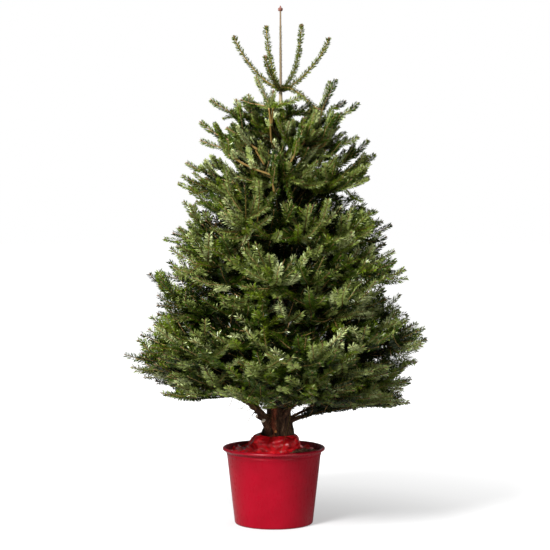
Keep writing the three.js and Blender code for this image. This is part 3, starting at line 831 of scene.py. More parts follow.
def growTrunkTwigs():
    # short twigs that fill the crown round the trunk between the whorls
    above, aboveSpread = trunkTwigs["above"]
    shortest, longer = trunkTwigs["length"]
    heights = {round(b.root.z, 2) for b in boughs if 0 < b.whorl < lastWhorl} | trunkTwigs["alsoAt"]
    for k, height in enumerate(sorted(heights)):
        for number in range(trunkTwigs["each"]):
            key = (k, number, 31)
            angle = 2 * math.pi * (number + 0.8 * chance(*key, 1)) / trunkTwigs["each"]
            base = trunkCentre(height + above + aboveSpread * either(*key, 2))
            length = (shortest + longer * chance(*key, 3)) * min(1.0, crownReach(height) / 0.3)
            climb = next(least for top, least in trunkTwigs["climbs"] if height < top)
            out = outAt(angle, climb + trunkTwigs["climbMore"] * chance(*key, 4)).normalized()
            path = [base + out * (length * s) + up * (trunkTwigs["curve"] * length * s * s)
                    for s in np.linspace(0, 1, 5)]
            for place in path:
                place.z = min(place.z, ceiling(place) - 0.02)
            share = (crown["topWhorl"] - height) / crown["topWhorl"]
            growAxis(path, up, yearsGrowth(1.4 * share), min(lastWhorl, int(8 * share)), trunkTwigs["thick"])


# the tallest shoots of the upper crown, in mm: x and z of the base, of the foot and of the tip, then y of the
# base, and y of the foot and tip
candles = [
    (-7, 1103, -12, 1196, -48, 1284, -160, -120), (-7, 1155, -13, 1196, -89, 1221, -140, -125),
    (-7, 1155, -10, 1199, -2, 1245, -140, -110), (-7, 1155, -3, 1196, 81, 1233, -140, -125),
    (-28, 1042, -88, 1157, -178, 1226, -150, -30), (-80, 1099, -91, 1156, -107, 1223, -80, -50),
    (-54, 1129, -69, 1190, -73, 1240, 0, 0), (-86, 1056, -138, 1109, -210, 1164, 0, 0),
    (-85, 1041, -123, 1079, -206, 1110, -80, -40), (-47, 1084, -81, 1117, -130, 1143, -120, -100),
    (126, 1143, 138, 1195, 177, 1282, -10, -20), (122, 1145, 135, 1198, 163, 1281, 30, 40),
    (140, 1163, 167, 1202, 206, 1227, 40, 60), (162, 1156, 203, 1189, 241, 1218, 0, 0),
    (142, 1095, 159, 1137, 189, 1183, -90, -100), (130, 1100, 146, 1140, 172, 1180, -100, -120),
    (137, 1055, 174, 1090, 237, 1118, -50, -60), (176, 1039, 220, 1062, 270, 1109, 0, 0),
    (207, 1022, 245, 1040, 292, 1071, 30, 40), (73, 1084, 96, 1134, 124, 1186, -100, -100),
    (75, 1145, 90, 1175, 118, 1206, 40, 50), (45, 1040, 68, 1096, 80, 1140, -170, -160),
    (-6, 1010, -108, 1055, -128, 1105, -200, -180), (0, 965, -6, 1010, 4, 1060, -200, -200),
    (-115, 990, -196, 1021, -248, 1046, -20, -20), (-100, 1000, -150, 1030, -198, 1052, 30, 40),
    (-40, 1120, -48, 1170, -66, 1232, 50, 50), (20, 1150, 45, 1190, 62, 1215, 60, 80),
    (180, 975, 225, 995, 268, 1003, 0, 0),
]
candleStyle = 9
candleWood = {
    "bareFrom": -0.07,  # those that start in front of this y have lost the needles of their older wood
    "fall": 0.35,  # how far below its base a candle's twig leaves the trunk, for each metre out
    "sag": 0.005,
    "trunkTwig": (0.0045, 0.0029),  # thick and thin radius
    "older": (0.0029, 0.0025),
    "newer": (0.0022, 0.0013),
    "leafy": (0.0024, 0.0013),
    "sides": (0.062, 0.066),  # length of the side shoots, at the foot and below it
}


def growCandles():
    for row in candles:
        baseX, baseZ, footX, footZ, tipX, tipZ, baseY, tipY = (number / 1000 for number in row)
        base, foot = Vector((baseX, baseY, baseZ)), Vector((footX, tipY, footZ))
        tip = Vector((tipX, tipY, tipZ))
        heading = (tip - foot).normalized()
        first, second = foot + (foot - base) * 0.35, tip - heading * 0.03 - up * 0.006
        along = [bezier(foot, first, second, tip, t) for t in np.linspace(0, 1, 5)]
        middle = base.lerp(foot, 0.5) - up * candleWood["sag"]
        trunkPlace = trunkCentre(base.z - candleWood["fall"] * (base - trunkCentre(base.z)).length)
        addTwig([trunkPlace, base], *candleWood["trunkTwig"], 3)
        if baseY < candleWood["bareFrom"]:
            addTwig([base, middle, foot], *candleWood["older"], 3)
            addTwig(along, *candleWood["newer"], 2)
        else:
            addTwig([base, middle] + along, *candleWood["leafy"], 2)
            addShoot([base, middle, foot], 2, candleStyle, up)
        addShoot(along[:3], 1, candleStyle, up)
        addShoot(along[2:], 1, candleStyle, up)
        addBud(tip, heading, "candle")
        across = heading.cross(up).normalized()
        for sign in (-1, 1):
            turned = turnedBy(heading, across, sign, growth["splaySpread"], up)
            for place, length in zip((foot, middle), candleWood["sides"]):
                growSide(place, turned, up, length * rand(*growth["sideSpread"]), 1, 0)


for bough in boughs:
    growMass(bough)
growGapSprays()
growTrunkTwigs()
growCandles()
print("shoots", len(shoots), "twigs", sum(len(v) for v in twigs.values()), "buds", len(buds))


# Needles

goldenAngle = 137.5  # degrees from one needle to the next round a twig

needle = {
    "widestAt": 0.58,  # share of its length where a needle is widest
    "fold": 0.0003,  # how far its midrib lies under its edges
    # one for each style: the leader's own whorl, the whorls from the youngest to the oldest, and the candles
    "length": [0.0135, 0.0125, 0.0138, 0.0164, 0.0184, 0.0190, 0.0190, 0.0190, 0.0190, 0.0148],
    "sideLean": [58, 50, 54, 62, 66, 68, 68, 68, 68, 60],  # degrees from the twig, for those at its sides
    "topLean": [50, 46, 40, 36, 38, 42, 44, 46, 46, 50],  # and for those over and under it
    "width": [0.0034, 0.0029, 0.0030, 0.0032, 0.0033, 0.0033, 0.0033, 0.0033, 0.0033, 0.0029],
    "leanSpread": [14, 7, 6, 5, 5, 5, 5, 5, 5, 9],  # degrees that single needles differ by
    "allRound": [180, 175, 165, 145, 130, 124, 120, 118, 116, 180],  # degrees from the top, not swept up
    "parting": [0, 0, 15, 28, 32, 34, 34, 34, 34, 0],  # degrees from the top that are parted
    "crowd": [1.45, 1.7, 1.45, 1.15, 1.05, 1.0, 1.0, 1.0, 1.0, 2.2],  # times as many
    "tipLean": 0.70,  # share of that lean at a shoot's tip
    "perMetre": {1: 1250, 2: 1400, 3: 900, 4: 420},  # on a shoot, by its age
    "widen": {1: 1.0, 2: 1.0, 3: 1.2, 4: 1.5},  # fewer old needles each stand for more
    "innerDepth": 0.13,  # so far inside the crown's outline they are fewer and wider
    "innerShare": 0.60,
    "innerWiden": 1.5,
    "turns": (0.2, 0.9, 0.5),  # how much its face turns to the shoot's top, outward, and to the light
    "lightLeans": 0.9,  # how far outward the light comes from, against upward
    # among them the pale are painted glints and the deep painted shade; the rest differ at random in tone
    "facing": 0.28,  # how much single needles are turned away from their neighbours
    "mixed": 0.20,  # share of a spray's needles that have a tint other than its own
    "lengthSpread": (0.9, 1.08),
    "rollSpread": 0.2,  # radians
    "sweep": 0.45,  # how far past its side an under needle is swept up
    "footOut": 0.0008,  # from the twig's middle to a needle's foot
}
tintChances = {
    # of each tint in needleTints, by the shoot's age
    1: [0.41, 0.24, 0.19, 0.10, 0.0, 0.06],
    # in the crown's lower part more of them are deep: painted shade
    "low": [0.27, 0.30, 0.15, 0.24, 0.0, 0.04],  # the year's own shoots, in the crown's lower part
    2: [0.03, 0.26, 0.03, 0.56, 0.12, 0.0],
    3: [0.0, 0.10, 0.0, 0.50, 0.40, 0.0],
    4: [0.0, 0.06, 0.0, 0.44, 0.50, 0.0],
    # deep inside the crown shoots take the darkest tints: painted shade
    "inner": [0.0, 0.08, 0.0, 0.44, 0.48, 0.0],
    # steep shoots are paler, for their undersides that show and as a painted highlight where they face the
    # light
    "steep": [0.44, 0.20, 0.17, 0.06, 0.0, 0.13],
}
# the pale here are painted glints, the deep painted shade
mixedIn = [0.30, 0.16, 0.16, 0.28, 0.0, 0.10]  # of each tint, among a spray's own


def isInner(chosen):
    # which shoots lie well inside the crown's outline, level with it
    depth = np.array([-outside(row[0][1]) for row in chosen])
    style = np.array([row[4] for row in chosen])
    return (depth > needle["innerDepth"]) & (style > 2) & (style < candleStyle)


def growNeedles(chosen, draws):
    # every needle of these shoots, as points (needles, 4, 3), and which shoot each is on
    spine = np.array([[tuple(p) for p in row[0]] for row in chosen])
    topSide = np.array([row[1] for row in chosen])
    age = np.array([row[2] for row in chosen])
    along = np.array([row[3] for row in chosen])
    style = np.array([row[4] for row in chosen])
    length, width, crowd = (np.array(needle[k])[style] for k in ("length", "width", "crowd"))
    sideLean, topLean, allRound, parting, leanSpread = (
        np.radians(needle[k])[style] for k in ("sideLean", "topLean", "allRound", "parting", "leanSpread"))
    inner = isInner(chosen)
    crowd = crowd * np.where(inner, needle["innerShare"], 1.0) * np.vectorize(needle["perMetre"].get)(age)
    width = width * np.where(inner, needle["innerWiden"], 1.0) * np.vectorize(needle["widen"].get)(age)
    counts = np.maximum(4, np.round(along * crowd)).astype(int)
    which = np.repeat(np.arange(len(chosen)), counts)
    order = np.arange(len(which)) - np.repeat(np.cumsum(counts) - counts, counts)
    t = 0.03 + 0.95 * (order + 0.5 + draws.uniform(-0.2, 0.2, len(which))) / counts[which]
    a, b, c = (spine[which, k] for k in range(3))
    control = 2 * b - (a + c) / 2  # so that the curve passes through the middle point
    u, v = (1 - t)[:, None], t[:, None]
    place = a * u * u + control * (2 * u * v) + c * v * v
    heading = unit((control - a) * u + (c - control) * v)
    top = topSide[which]
    top = unit(top - heading * np.sum(top * heading, 1, keepdims=True))
    side = np.cross(heading, top)
    # needles stand round the twig in a spiral, and those under it are swept out to its sides
    roll = order * math.radians(goldenAngle) + draws.normal(0, needle["rollSpread"], len(which)) + which
    roll = roll % (2 * np.pi) - np.pi
    limit = allRound[which]
    swept = np.sign(roll) * (limit - needle["sweep"] * (np.abs(roll) - limit))
    roll = np.where(np.abs(roll) > limit, swept, roll)
    part = parting[which]
    roll = np.where(np.abs(roll) < part, np.sign(roll) * (part + 0.5 * (part - np.abs(roll))), roll)
    lean = lerp(topLean[which], sideLean[which], np.sin(roll) ** 2)
    lean += draws.normal(0, 1, len(which)) * leanSpread[which]
    nearTip = np.clip((t - 0.84) / 0.16, 0, 1)
    lean *= lerp(1, needle["tipLean"], nearTip)
    out = top * np.cos(roll)[:, None] + side * np.sin(roll)[:, None]
    direction = heading * np.cos(lean)[:, None] + out * np.sin(lean)[:, None]
    skyward = unit(unit(place * [1, 1, 0]) * needle["lightLeans"] + [0, 0, 1])
    toTop, toOut, toLight = needle["turns"]
    face = top * toTop + out * toOut + skyward * toLight
    face += draws.normal(0, needle["facing"], (len(which), 3))
    wide = unit(np.cross(direction, face))
    normal = np.cross(wide, direction)
    swell = 0.8 + 0.2 * np.sin(np.pi * np.clip(t, 0.1, 0.9))  # a little shorter at both ends
    reach = length[which] * draws.uniform(*needle["lengthSpread"], len(which)) * swell
    half = 0.5 * width[which]
    base = place + out * needle["footOut"]
    tip = base + direction * reach[:, None]
    middle = base + direction * (reach * needle["widestAt"])[:, None] + normal * needle["fold"]
    return np.stack([base, middle + wide * half[:, None], tip, middle - wide * half[:, None]], 1), which


def needlePiece(name, quads, tints, materials):
    halves = np.array([[0, 2, 1], [0, 3, 2]])  # its left and right half
    triangles = (halves[None] + (np.arange(len(quads)) * 4)[:, None, None]).reshape(-1, 3)
    return meshPiece(name, quads.reshape(-1, 3), triangles, materials, np.repeat(tints, 2))


def pickTints(chosen, which, draws):
    # each shoot has one tint, darker with age, and darker inside the crown and low in it as painted shade,
    # with needles of other tints among them, some as painted glints and shade
    tints = np.zeros(len(chosen), int)
    ages = np.array([row[2] for row in chosen])
    climbs = np.array([(row[0][2] - row[0][0]).normalized().z for row in chosen])
    inner = isInner(chosen)
    isLow = np.array([4 < row[4] < candleStyle for row in chosen])
    kinds = [(ages == age, age) for age in (1, 2, 3, 4)]
    kinds.append(((ages == 1) & isLow, "low"))
    kinds += [((climbs > 0.45) & (ages < 3), "steep"), (inner, "inner")]
    for found, kind in kinds:
        tints[found] = draws.choice(len(needleTints), found.sum(), p=tintChances[kind])
    tints = tints[which]
    isOther = (draws.random(len(which)) < needle["mixed"]) & ((ages < 3) & ~inner)[which]
    tints[isOther] = draws.choice(len(needleTints), isOther.sum(), p=mixedIn)
    return tints


def makeFoliage():
    groups = [[1, 2, candleStyle], [3], [4], [5], [6], [7], [8]]  # the styles that one piece holds
    for number, styles in enumerate(groups, 1):
        draws = np.random.default_rng(seed + number)
        chosen = [row for row in shoots if row[4] in styles]
        quads, which = growNeedles(chosen, draws)
        piece = needlePiece(f"needles_{number}", quads, pickTints(chosen, which, draws), needleTints)
        nodes = [f"foliage_{b.whorl + 1}_{b.index + 1}" for b in boughs if b.whorl + 1 in styles]
        seat(piece, nodes)


def makeTwigs():
    parts, slots = [], []
    for rows in twigs.values():
        points, triangles = tubes([row[0] for row in rows], [row[1] for row in rows], 3)
        parts.append((points, triangles))
        slots.append(np.repeat([0 if row[2] < 3 else 1 for row in rows], len(triangles) // len(rows)))
    points, triangles = joined(parts)
    piece = meshPiece("twigs", points, triangles, [twigWood["new"], twigWood["old"]], np.concatenate(slots))
    seat(piece)


def makeBuds():
    rows = np.array([[*place, *heading, size] for place, heading, size in buds])
    place, heading, size = rows[:, :3], rows[:, 3:6], rows[:, 6]
    paths = place[:, None] + heading[:, None] * (size[:, None] * [-0.4, 1.0, 2.4])[:, :, None]
    points, triangles = tubes(paths, size[:, None] * [0.5, 1.0, 0.2], 3)
    seat(meshPiece("buds", points, triangles, [budScale]))


# The youngest whorl and the leader

topShoot = {
    # turn in degrees, spread, rise, and the shares of the rise at the curve's two inner control points
    "right": (2, 0.138, 0.150, 0.12, 0.66),
    "back_right": (58, 0.115, 0.189, 0.05, 0.30),
    "back_left": (111, 0.118, 0.194, 0.08, 0.64),
    "left": (180, 0.133, 0.147, 0.05, 0.68),
    "front_left": (250, 0.126, 0.088, 0.20, 0.60),
    "front_right": (316, 0.148, -0.064, -0.25, 1.05),
}
topShootShape = {
    "stagger": 0.004,
    "radius": (0.0024, 0.0016),
    "spreads": (0.38, 0.9),  # shares of the spread at the two inner control points
    "bud": (0.0095, 0.0034),  # length and radius
}


def makeTopShoots():
    paths, radii, young, ends = [], [], [], []
    near, far = topShootShape["spreads"]
    for index, (turn, spread, rise, low, high) in enumerate(topShoot.values()):
        root = trunkCentre(crown["topWhorl"] + topShootShape["stagger"] * (1 if index % 2 else -1))
        out = outAt(math.radians(turn))
        controls = [(0, 0), (near * spread, low * rise), (far * spread, high * rise), (spread, rise)]
        controls = [root + out * across + up * above for across, above in controls]
        path = [bezier(*controls, t) for t in np.linspace(0, 1, 13)]
        paths.append([tuple(p) for p in path])
        radii.append(np.linspace(*topShootShape["radius"], len(path)))
        ends.append((path[-1], (path[-1] - path[-2]).normalized()))
        for k in range(0, 12, 2):
            piece = path[k:k + 3]
            young.append((piece, tuple(up), 1, (piece[2] - piece[0]).length, 0))
    points, triangles = tubes(paths, radii, 8)
    seat(meshPiece("top_shoot_wood", points, triangles, [twigWood["young"]], smooth=True))
    quads, _ = growNeedles(young, np.random.default_rng(seed))
    piece = needlePiece("top_shoot_needles", quads, np.zeros(len(quads), int), [youngNeedle])
    seat(piece, [f"top_shoot_{name}" for name in topShoot])
    return ends


leader = {
    "budLength": 0.013,
    "budRadius": 0.0042,
    "budSunk": 0.003,  # depth of its foot in the leader
    "needles": 130,
    "needleLength": 0.0055,
    "needlesTo": 0.75,  # share of the leader's height that has needles
}


def budShape(place, heading, length, radius):
    # a pointed egg, eight-sided
    shares = np.array([0.0, 0.16, 0.4, 0.7, 0.9, 1.0])
    widths = np.array([0.45, 0.85, 1.0, 0.7, 0.35, 0.06])
    path = np.array(tuple(place)) + np.array(tuple(heading)) * (length * shares)[:, None]
    return tubes([path], [radius * widths], 8)


def makeLeader(ends):
    # four buds at the top, three at the end of each young shoot, and tiny needles up the leader's foot
    length, radius, sunk = leader["budLength"], leader["budRadius"], leader["budSunk"]
    foot = trunkCentre(trunkSizes["top"]) - up * sunk
    shapes = [budShape(foot, up, length + sunk, radius)]
    for turn in (30, 150, 270):
        lean = outAt(math.radians(turn))
        heading = (up + lean * 0.5).normalized()
        shapes.append(budShape(foot + lean * (0.6 * radius), heading, 0.8 * length, 0.8 * radius))
    seat(meshPiece("leader_buds", *joined(shapes), [leaderBud], smooth=True))
    shapes = []
    for place, heading in ends:
        side = heading.cross(up).normalized()
        for lean in (side * 0, side * 0.6, side * -0.6):
            turned = (heading + lean).normalized()
            shapes.append(budShape(place - heading * 0.002, turned, *topShootShape["bud"]))
    seat(meshPiece("shoot_buds", *joined(shapes), [budScale], smooth=True))
    span = trunkSizes["top"] - crown["topWhorl"]
    paths = []
    for k in range(leader["needles"]):
        height = crown["topWhorl"] + 0.01 + span * leader["needlesTo"] * k / leader["needles"]
        out = outAt(math.radians(goldenAngle * k))
        foot = trunkCentre(height) + out * (0.6 * trunkRadius(height))
        tip = foot + (out + up * rand(0.5, 1.2)).normalized() * (leader["needleLength"] * rand(0.6, 1.2))
        paths.append([tuple(foot), tuple(foot.lerp(tip, 0.5)), tuple(tip)])
    radii = np.tile([0.0006, 0.0007, 0.0002], (len(paths), 1))
    seat(meshPiece("leader_needles", *tubes(paths, radii, 3), [youngNeedle]))


# Trunk, stubs and boughs

trunk = {
    "around": 84,
    "rows": 300,
    "flareLobes": 5,
    "flareDepth": 0.09,
    "relief": 0.0030,  # depth of the bark's fissures at the foot
    "reliefTop": 0.0003,
    "fissure": 16,  # mm from one fissure to the next
    "stretch": 0.28,  # of heights in its noise, which draws the fissures out along the trunk
    "knobs": [  # as bumps has them
        (345, 0.272, 0.003, 0.014), (200, 0.290, 0.006, 0.016), (300, 0.318, 0.005, 0.015),
        (250, 0.335, 0.005, 0.018), (20, 0.300, 0.003, 0.016), (160, 0.262, 0.006, 0.015),
    ],
    "redStrip": (238, 262, 0.345),  # from and to, degrees, and up to this height
}
stubs = [
    # of each pruned branch: turn, height, how far it stands out, lift, radius, and which cut wood it shows
    (233, 0.222, 0.019, 1.2, 0.0074, 0),
    (262, 0.249, 0.009, 0.45, 0.0046, 1),
    (222, 0.281, 0.044, 0.45, 0.0050, 0),
]


def makeTrunk():
    foot, top = trunkSizes["foot"], trunkSizes["top"]
    heights = foot + (top - foot) * np.linspace(0, 1, trunk["rows"]) ** 1.5
    flareTop = trunkSizes["taper"][4][0]
    points = []
    for height in heights:
        centre, radius = trunkCentre(height), trunkRadius(height)
        flare = max(0.0, (flareTop - height) / (flareTop - foot))
        relief = min(lerp(trunk["reliefTop"], trunk["relief"], radius / 0.056), 0.12 * radius)
        for k in range(trunk["around"]):
            angle = 2 * math.pi * k / trunk["around"]
            lobes = 1 + trunk["flareDepth"] * flare * math.cos(1 - trunk["flareLobes"] * angle)
            out = outAt(angle)
            skin = out * radius
            plates = ridged(Vector((skin.x, skin.y, trunk["stretch"] * height)), trunk["fissure"]) - 0.5
            fine = noise.noise(Vector((skin.x, skin.y, 0.8 * height)) * 260) * 0.25
            far = radius * lobes + relief * (1.2 * plates + fine)
            far += bumps(trunk["knobs"], angle, height, radius)
            points.append((centre.x + far * out.x, centre.y + far * out.y, height))
    triangles = closedGrid(trunk["rows"], trunk["around"])
    middle = np.array(points)[triangles].mean(1)
    turns = np.degrees(np.arctan2(middle[:, 1], middle[:, 0] - trunkSizes["footX"])) % 360
    start, end, high = trunk["redStrip"]
    wander = 4 * np.sin(middle[:, 2] * 90) + 5 * np.sin(middle[:, 2] * 530 + turns)
    slots = np.zeros(len(triangles), int)
    slots[(turns + wander > start) & (turns + wander < end) & (middle[:, 2] < high)] = 1
    slots[middle[:, 2] > crown["topWhorl"] + 0.004] = 2
    woods = [trunkBark, innerBark, leaderBark]
    seat(meshPiece("trunk", points, triangles, woods, slots, smooth=True), ["trunk"])


def makeStubs():
    # pruned branches: a short barked peg with a cut face that dries and shrinks a little
    bark, cuts, slots = [], [], []
    for turn, height, standsOut, lift, radius, wood in stubs:
        centre = trunkCentre(height)
        out = outAt(math.radians(turn), lift)
        length = trunkRadius(height) + standsOut
        shares = np.array([0.5, 0.8, 0.92, 0.99, 1.0])
        path = [tuple(centre + out * (length * s)) for s in shares]
        radii = radius * np.array([1.6, 1.25, 1.12, 1.08, 0.98])
        bark.append(tubes([path], [radii], 14))
        face = [tuple(centre + out * (length * s)) for s in (0.985, 1.012)]
        cuts.append(tubes([face], [radius * np.array([0.86, 0.82])], 14))
        slots += [wood] * len(cuts[-1][1])
    seat(meshPiece("stubs", *joined(bark), [boughBark], smooth=True))
    seat(meshPiece("stub_cuts", *joined(cuts), cutWoods, slots))


boughWood = {
    "sides": 9,
    "steps": 22,
    "relief": 0.10,  # share of the radius that the bark's relief is deep
    "wobble": 0.0016,  # how far it strays from its curve
    "twinThick": 0.62,  # a twin's radius, against its bough's
    # twins fork from an oldest bough: its index, degrees aside, height above, and how far out it goes
    "twins": [(2, 6, 0.016, 0.62), (3, -9, 0.010, 0.5), (0, 8, 0.012, 0.55), (4, -8, 0.014, 0.5)],
}


def barkTubes(paths, radii, sides):
    # tubes whose skin is rough along them
    points, triangles = tubes(paths, radii, sides)
    flat = np.asarray(paths, float)
    centres = np.repeat(flat[:, :, None], sides, axis=2).reshape(-1, 3)
    rough = np.array([noise.noise(Vector(p) * 170) + 0.6 * noise.noise(Vector(p) * 420) for p in points])
    return centres + (points - centres) * (1 + boughWood["relief"] * rough)[:, None], triangles


def makeBoughs():
    # the wood of every bough, from the trunk out to where its foliage begins
    steps = boughWood["steps"]
    paths, radii = [], []
    for bough in boughs:
        shares = np.linspace(0.01, growth["innerStart"] + 0.03, steps)
        strays = [Vector([either(bough.whorl, bough.index, key, k) for key in (40, 41, 42)])
                  for k in range(steps)]
        paths.append([tuple(bough.placeAt(s) + stray * boughWood["wobble"])
                      for s, stray in zip(shares, strays)])
        radii.append([bough.radiusAt(s) * (1 + 0.5 * math.exp(-s * 40)) for s in shares])
    for index, aside, above, to in boughWood["twins"]:
        bough = boughs[index - 5]
        shares = np.linspace(0.05, to, steps)
        paths.append([tuple(bough.placeAt(s, aside * (s / to) ** 0.5, above * math.sin(3 * s / to) + 0.004))
                      for s in shares])
        radii.append([boughWood["twinThick"] * bough.radiusAt(s) for s in shares])
    points, triangles = barkTubes(paths, radii, boughWood["sides"])
    nodes = [f"bough_{k}" for k in range(1, 6)]
    seat(meshPiece("boughs", points, triangles, [boughBark], smooth=True), nodes)


deadTwigs = {"count": 80, "longest": 0.06, "curl": 0.8, "from": (0.14, 0.5), "radius": (0.0010, 0.0004)}


def makeDeadTwigs():
    # fine dry twiglets left on the bare boughs
    draws = np.random.default_rng(seed + 50)
    paths, radii = [], []
    for k in range(deadTwigs["count"]):
        bough = boughs[-5 + k % 5]
        start = bough.placeAt(draws.uniform(*deadTwigs["from"]))
        heading = Vector(draws.normal(0, 1, 3) * [1, 1, 0.6]).normalized()
        length = deadTwigs["longest"] * draws.uniform(0.35, 1.0)
        turn = Vector(draws.normal(0, deadTwigs["curl"], 3))
        path = [start + heading * (length * s) + turn * (length * s * s) for s in np.linspace(0, 1, 7)]
        paths.append([tuple(p) for p in path])
        radii.append(np.linspace(*deadTwigs["radius"], 7))
    seat(meshPiece("dead_twigs", *tubes(paths, radii, 3), [twigWood["old"]]))


# Pot, compost and film

pot = {
    "footRadius": 0.1135,
    "topRadius": 0.137,
    "shoulder": 0.206,
    "wall": 0.0026,
    "footRound": 0.006,
    "lipRadius": 0.1442,
    "lipHeight": 0.2185,
    "lipRoll": 0.0048,
    "segments": 160,
}
compostTop = 0.196


def potRadius(height):
    return lerp(pot["footRadius"], pot["topRadius"], height / pot["shoulder"])


def makePot():
    turn, wall = pot["footRound"], pot["wall"]
    outer = [(potRadius(z), z) for z in np.linspace(0.012, pot["shoulder"] - 0.006, 24)]
    inner = [(potRadius(z) - wall, z) for z in np.linspace(pot["shoulder"] - 0.004, wall + 0.001, 16)]
    profile = [(0, 0), (0.06, 0), (potRadius(0) - turn - 0.001, 0)]
    profile += arc(potRadius(turn) - turn, turn, turn, -90, -3, 8) + outer
    profile += arc(pot["topRadius"] - 0.0005, pot["shoulder"] - 0.003, 0.0012, -40, 60, 4)
    profile += arc(pot["lipRadius"], pot["lipHeight"], pot["lipRoll"], -118, 172, 22)
    profile += inner + [(0.06, wall), (0, wall)]
    points, triangles = lathe(profile, pot["segments"])
    seat(meshPiece("pot", points, triangles, [potPlastic], smooth=True), ["pot"])


ground = {
    "rings": 44,
    "around": 120,
    "fall": 0.006,  # from fallFrom out to the wall
    "fallFrom": 0.078,
    "fallOver": 0.055,
    "mound": 0.020,  # how high the compost is heaped at the front right
    "moundTurn": -25,
    "moundWidth": 52,
    "chips": 190,
    "chipLength": (0.007, 0.021),
    "chipThick": (0.0012, 0.0032),
    "chipsFrom": (0.068, 0.124),  # least and most distance from the pot's axis
    "chipsSpread": 50,  # degrees to the sides of the mound
}


def groundHeight(x, y):
    turn, out = math.degrees(math.atan2(y, x)) - ground["moundTurn"], math.hypot(x, y)
    heap = math.exp(-(math.remainder(turn, 360) / ground["moundWidth"]) ** 2) * min(1, out / 0.09)
    lump = noise.noise(Vector((x, y, 0)) * 45) * 0.0024
    fall = ground["fall"] * max(0, out - ground["fallFrom"]) / ground["fallOver"]
    return compostTop - fall + ground["mound"] * heap + lump


def makeGround():
    edge = potRadius(compostTop) - pot["wall"] - 0.0006
    points = [(0, 0, groundHeight(0, 0))]
    for ring in range(1, ground["rings"] + 1):
        for k in range(ground["around"]):
            angle = 2 * math.pi * k / ground["around"]
            far = edge * ring / ground["rings"]
            x, y = far * math.cos(angle), far * math.sin(angle)
            crumb = noise.noise(Vector((x, y, 1)) * 190) * 0.0016
            crumb += noise.noise(Vector((x, y, 3)) * 420) * 0.0008
            points.append((x, y, groundHeight(x, y) + crumb))
    around = ground["around"]
    fan = np.array([[0, 1 + k, 1 + (k + 1) % around] for k in range(around)])
    triangles = np.concatenate([gridTriangles(ground["rings"], around, 1), fan])
    seat(meshPiece("compost", points, triangles, [compostDamp], smooth=True), ["compost"])
    # chips of bark on it: flat slabs with five uneven corners
    draws = np.random.default_rng(seed + 60)
    chips = []
    for _ in range(ground["chips"]):
        turn = math.radians(ground["moundTurn"] + draws.normal(0, ground["chipsSpread"]))
        far = draws.uniform(*ground["chipsFrom"])
        x, y = far * math.cos(turn), far * math.sin(turn)
        long = draws.uniform(*ground["chipLength"]) / 2
        angles = np.sort(draws.uniform(0, 2 * np.pi, 5))
        flat = np.stack([long * np.cos(angles), long * draws.uniform(0.35, 0.6) * np.sin(angles)], 1)
        thick = draws.uniform(*ground["chipThick"])
        slab = np.concatenate([np.c_[flat, np.full(5, -thick)], np.c_[flat * 0.9, np.full(5, thick)]])
        tilt = Vector((*draws.normal(0, 0.35, 2), 1)).to_track_quat("Z", "Y").to_matrix()
        across, along = math.cos(turn * 7), math.sin(turn * 7)
        spin = np.array(tilt) @ np.array([[across, -along, 0], [along, across, 0], [0, 0, 1]])
        centre = np.array([x, y, groundHeight(x, y) + draws.uniform(0.001, 0.006)])
        chips.append((slab @ spin.T + centre, closedGrid(2, 5)))
    seat(meshPiece("bark_chips", *joined(chips), [barkChip]))


wrap = {
    # radius and height from the top of the neck out to the skirt's edge
    "profile": [(0.042, 0.250), (0.046, 0.2575), (0.053, 0.2595), (0.060, 0.2555), (0.067, 0.248),
                (0.0725, 0.238), (0.0745, 0.229), (0.0735, 0.221), (0.082, 0.216), (0.096, 0.213),
                (0.110, 0.211), (0.122, 0.210), (0.129, 0.214)],
    "neckX": 0.0045,  # its middle
    "rings": 92,
    "around": 300,
    "crumple": 0.0085,  # height of the big folds
    "crease": 0.0014,  # and of the small ones
    "bulges": [(222, 0.246, 0.011, 0.020), (300, 0.240, 0.006, 0.018), (262, 0.232, 0.005, 0.016),
               (175, 0.238, 0.006, 0.02), (330, 0.246, 0.005, 0.014)],
    "openTurn": -28,  # the skirt is short here and shows the compost
    "openShare": 0.62,  # of the profile, from the neck out
    "openWidth": 40,
    "inset": 0.005,  # least distance from the pot's wall
}


def makeWrap():
    profile = np.array(wrap["profile"])
    shares = np.linspace(0, 1, len(profile))
    neck = Vector((wrap["neckX"], 0, 0))
    points = []
    for ring in range(wrap["rings"]):
        t = ring / (wrap["rings"] - 1)
        for k in range(wrap["around"]):
            angle = 2 * math.pi * k / wrap["around"]
            fromOpening = math.remainder(math.degrees(angle) - wrap["openTurn"], 360)
            opening = math.exp(-(fromOpening / wrap["openWidth"]) ** 2)
            s = t * (1 - (1 - wrap["openShare"]) * opening)
            far = float(np.interp(s, shares, profile[:, 0]))
            height = float(np.interp(s, shares, profile[:, 1]))
            out = outAt(angle)
            spread = max(0.0, (s - 0.45) / 0.55)  # from 0 at the neck to 1 at the edge
            place = Vector((out.x * far, out.y * far, height)) + neck * (1 - spread)
            folds = ridged(Vector((place.x, place.y, place.z * 1.3)), 40, 2) - 0.62
            creases = ridged(place + Vector((0.3, 0.1, 0.2)), 12, 3) - 0.62
            ease = min(1.0, t / 0.12)  # the neck's top ring is even
            lift = ease * (wrap["crumple"] * folds * (1 + 0.5 * spread) + wrap["crease"] * creases)
            lift += ease * bumps(wrap["bulges"], angle, height, far) * (1 - spread)
            place += (out * (1 - 0.8 * spread) + up * (0.35 + 0.9 * spread)) * lift
            far = math.hypot(place.x, place.y)
            most = potRadius(min(place.z, pot["shoulder"])) - wrap["inset"]
            if far > most:
                place.x, place.y = place.x * most / far, place.y * most / far
            points.append(tuple(place))
    triangles = gridTriangles(wrap["rings"], wrap["around"])[:, ::-1]
    seat(meshPiece("film_wrap", points, triangles, [film], smooth=True), ["film_wrap"])


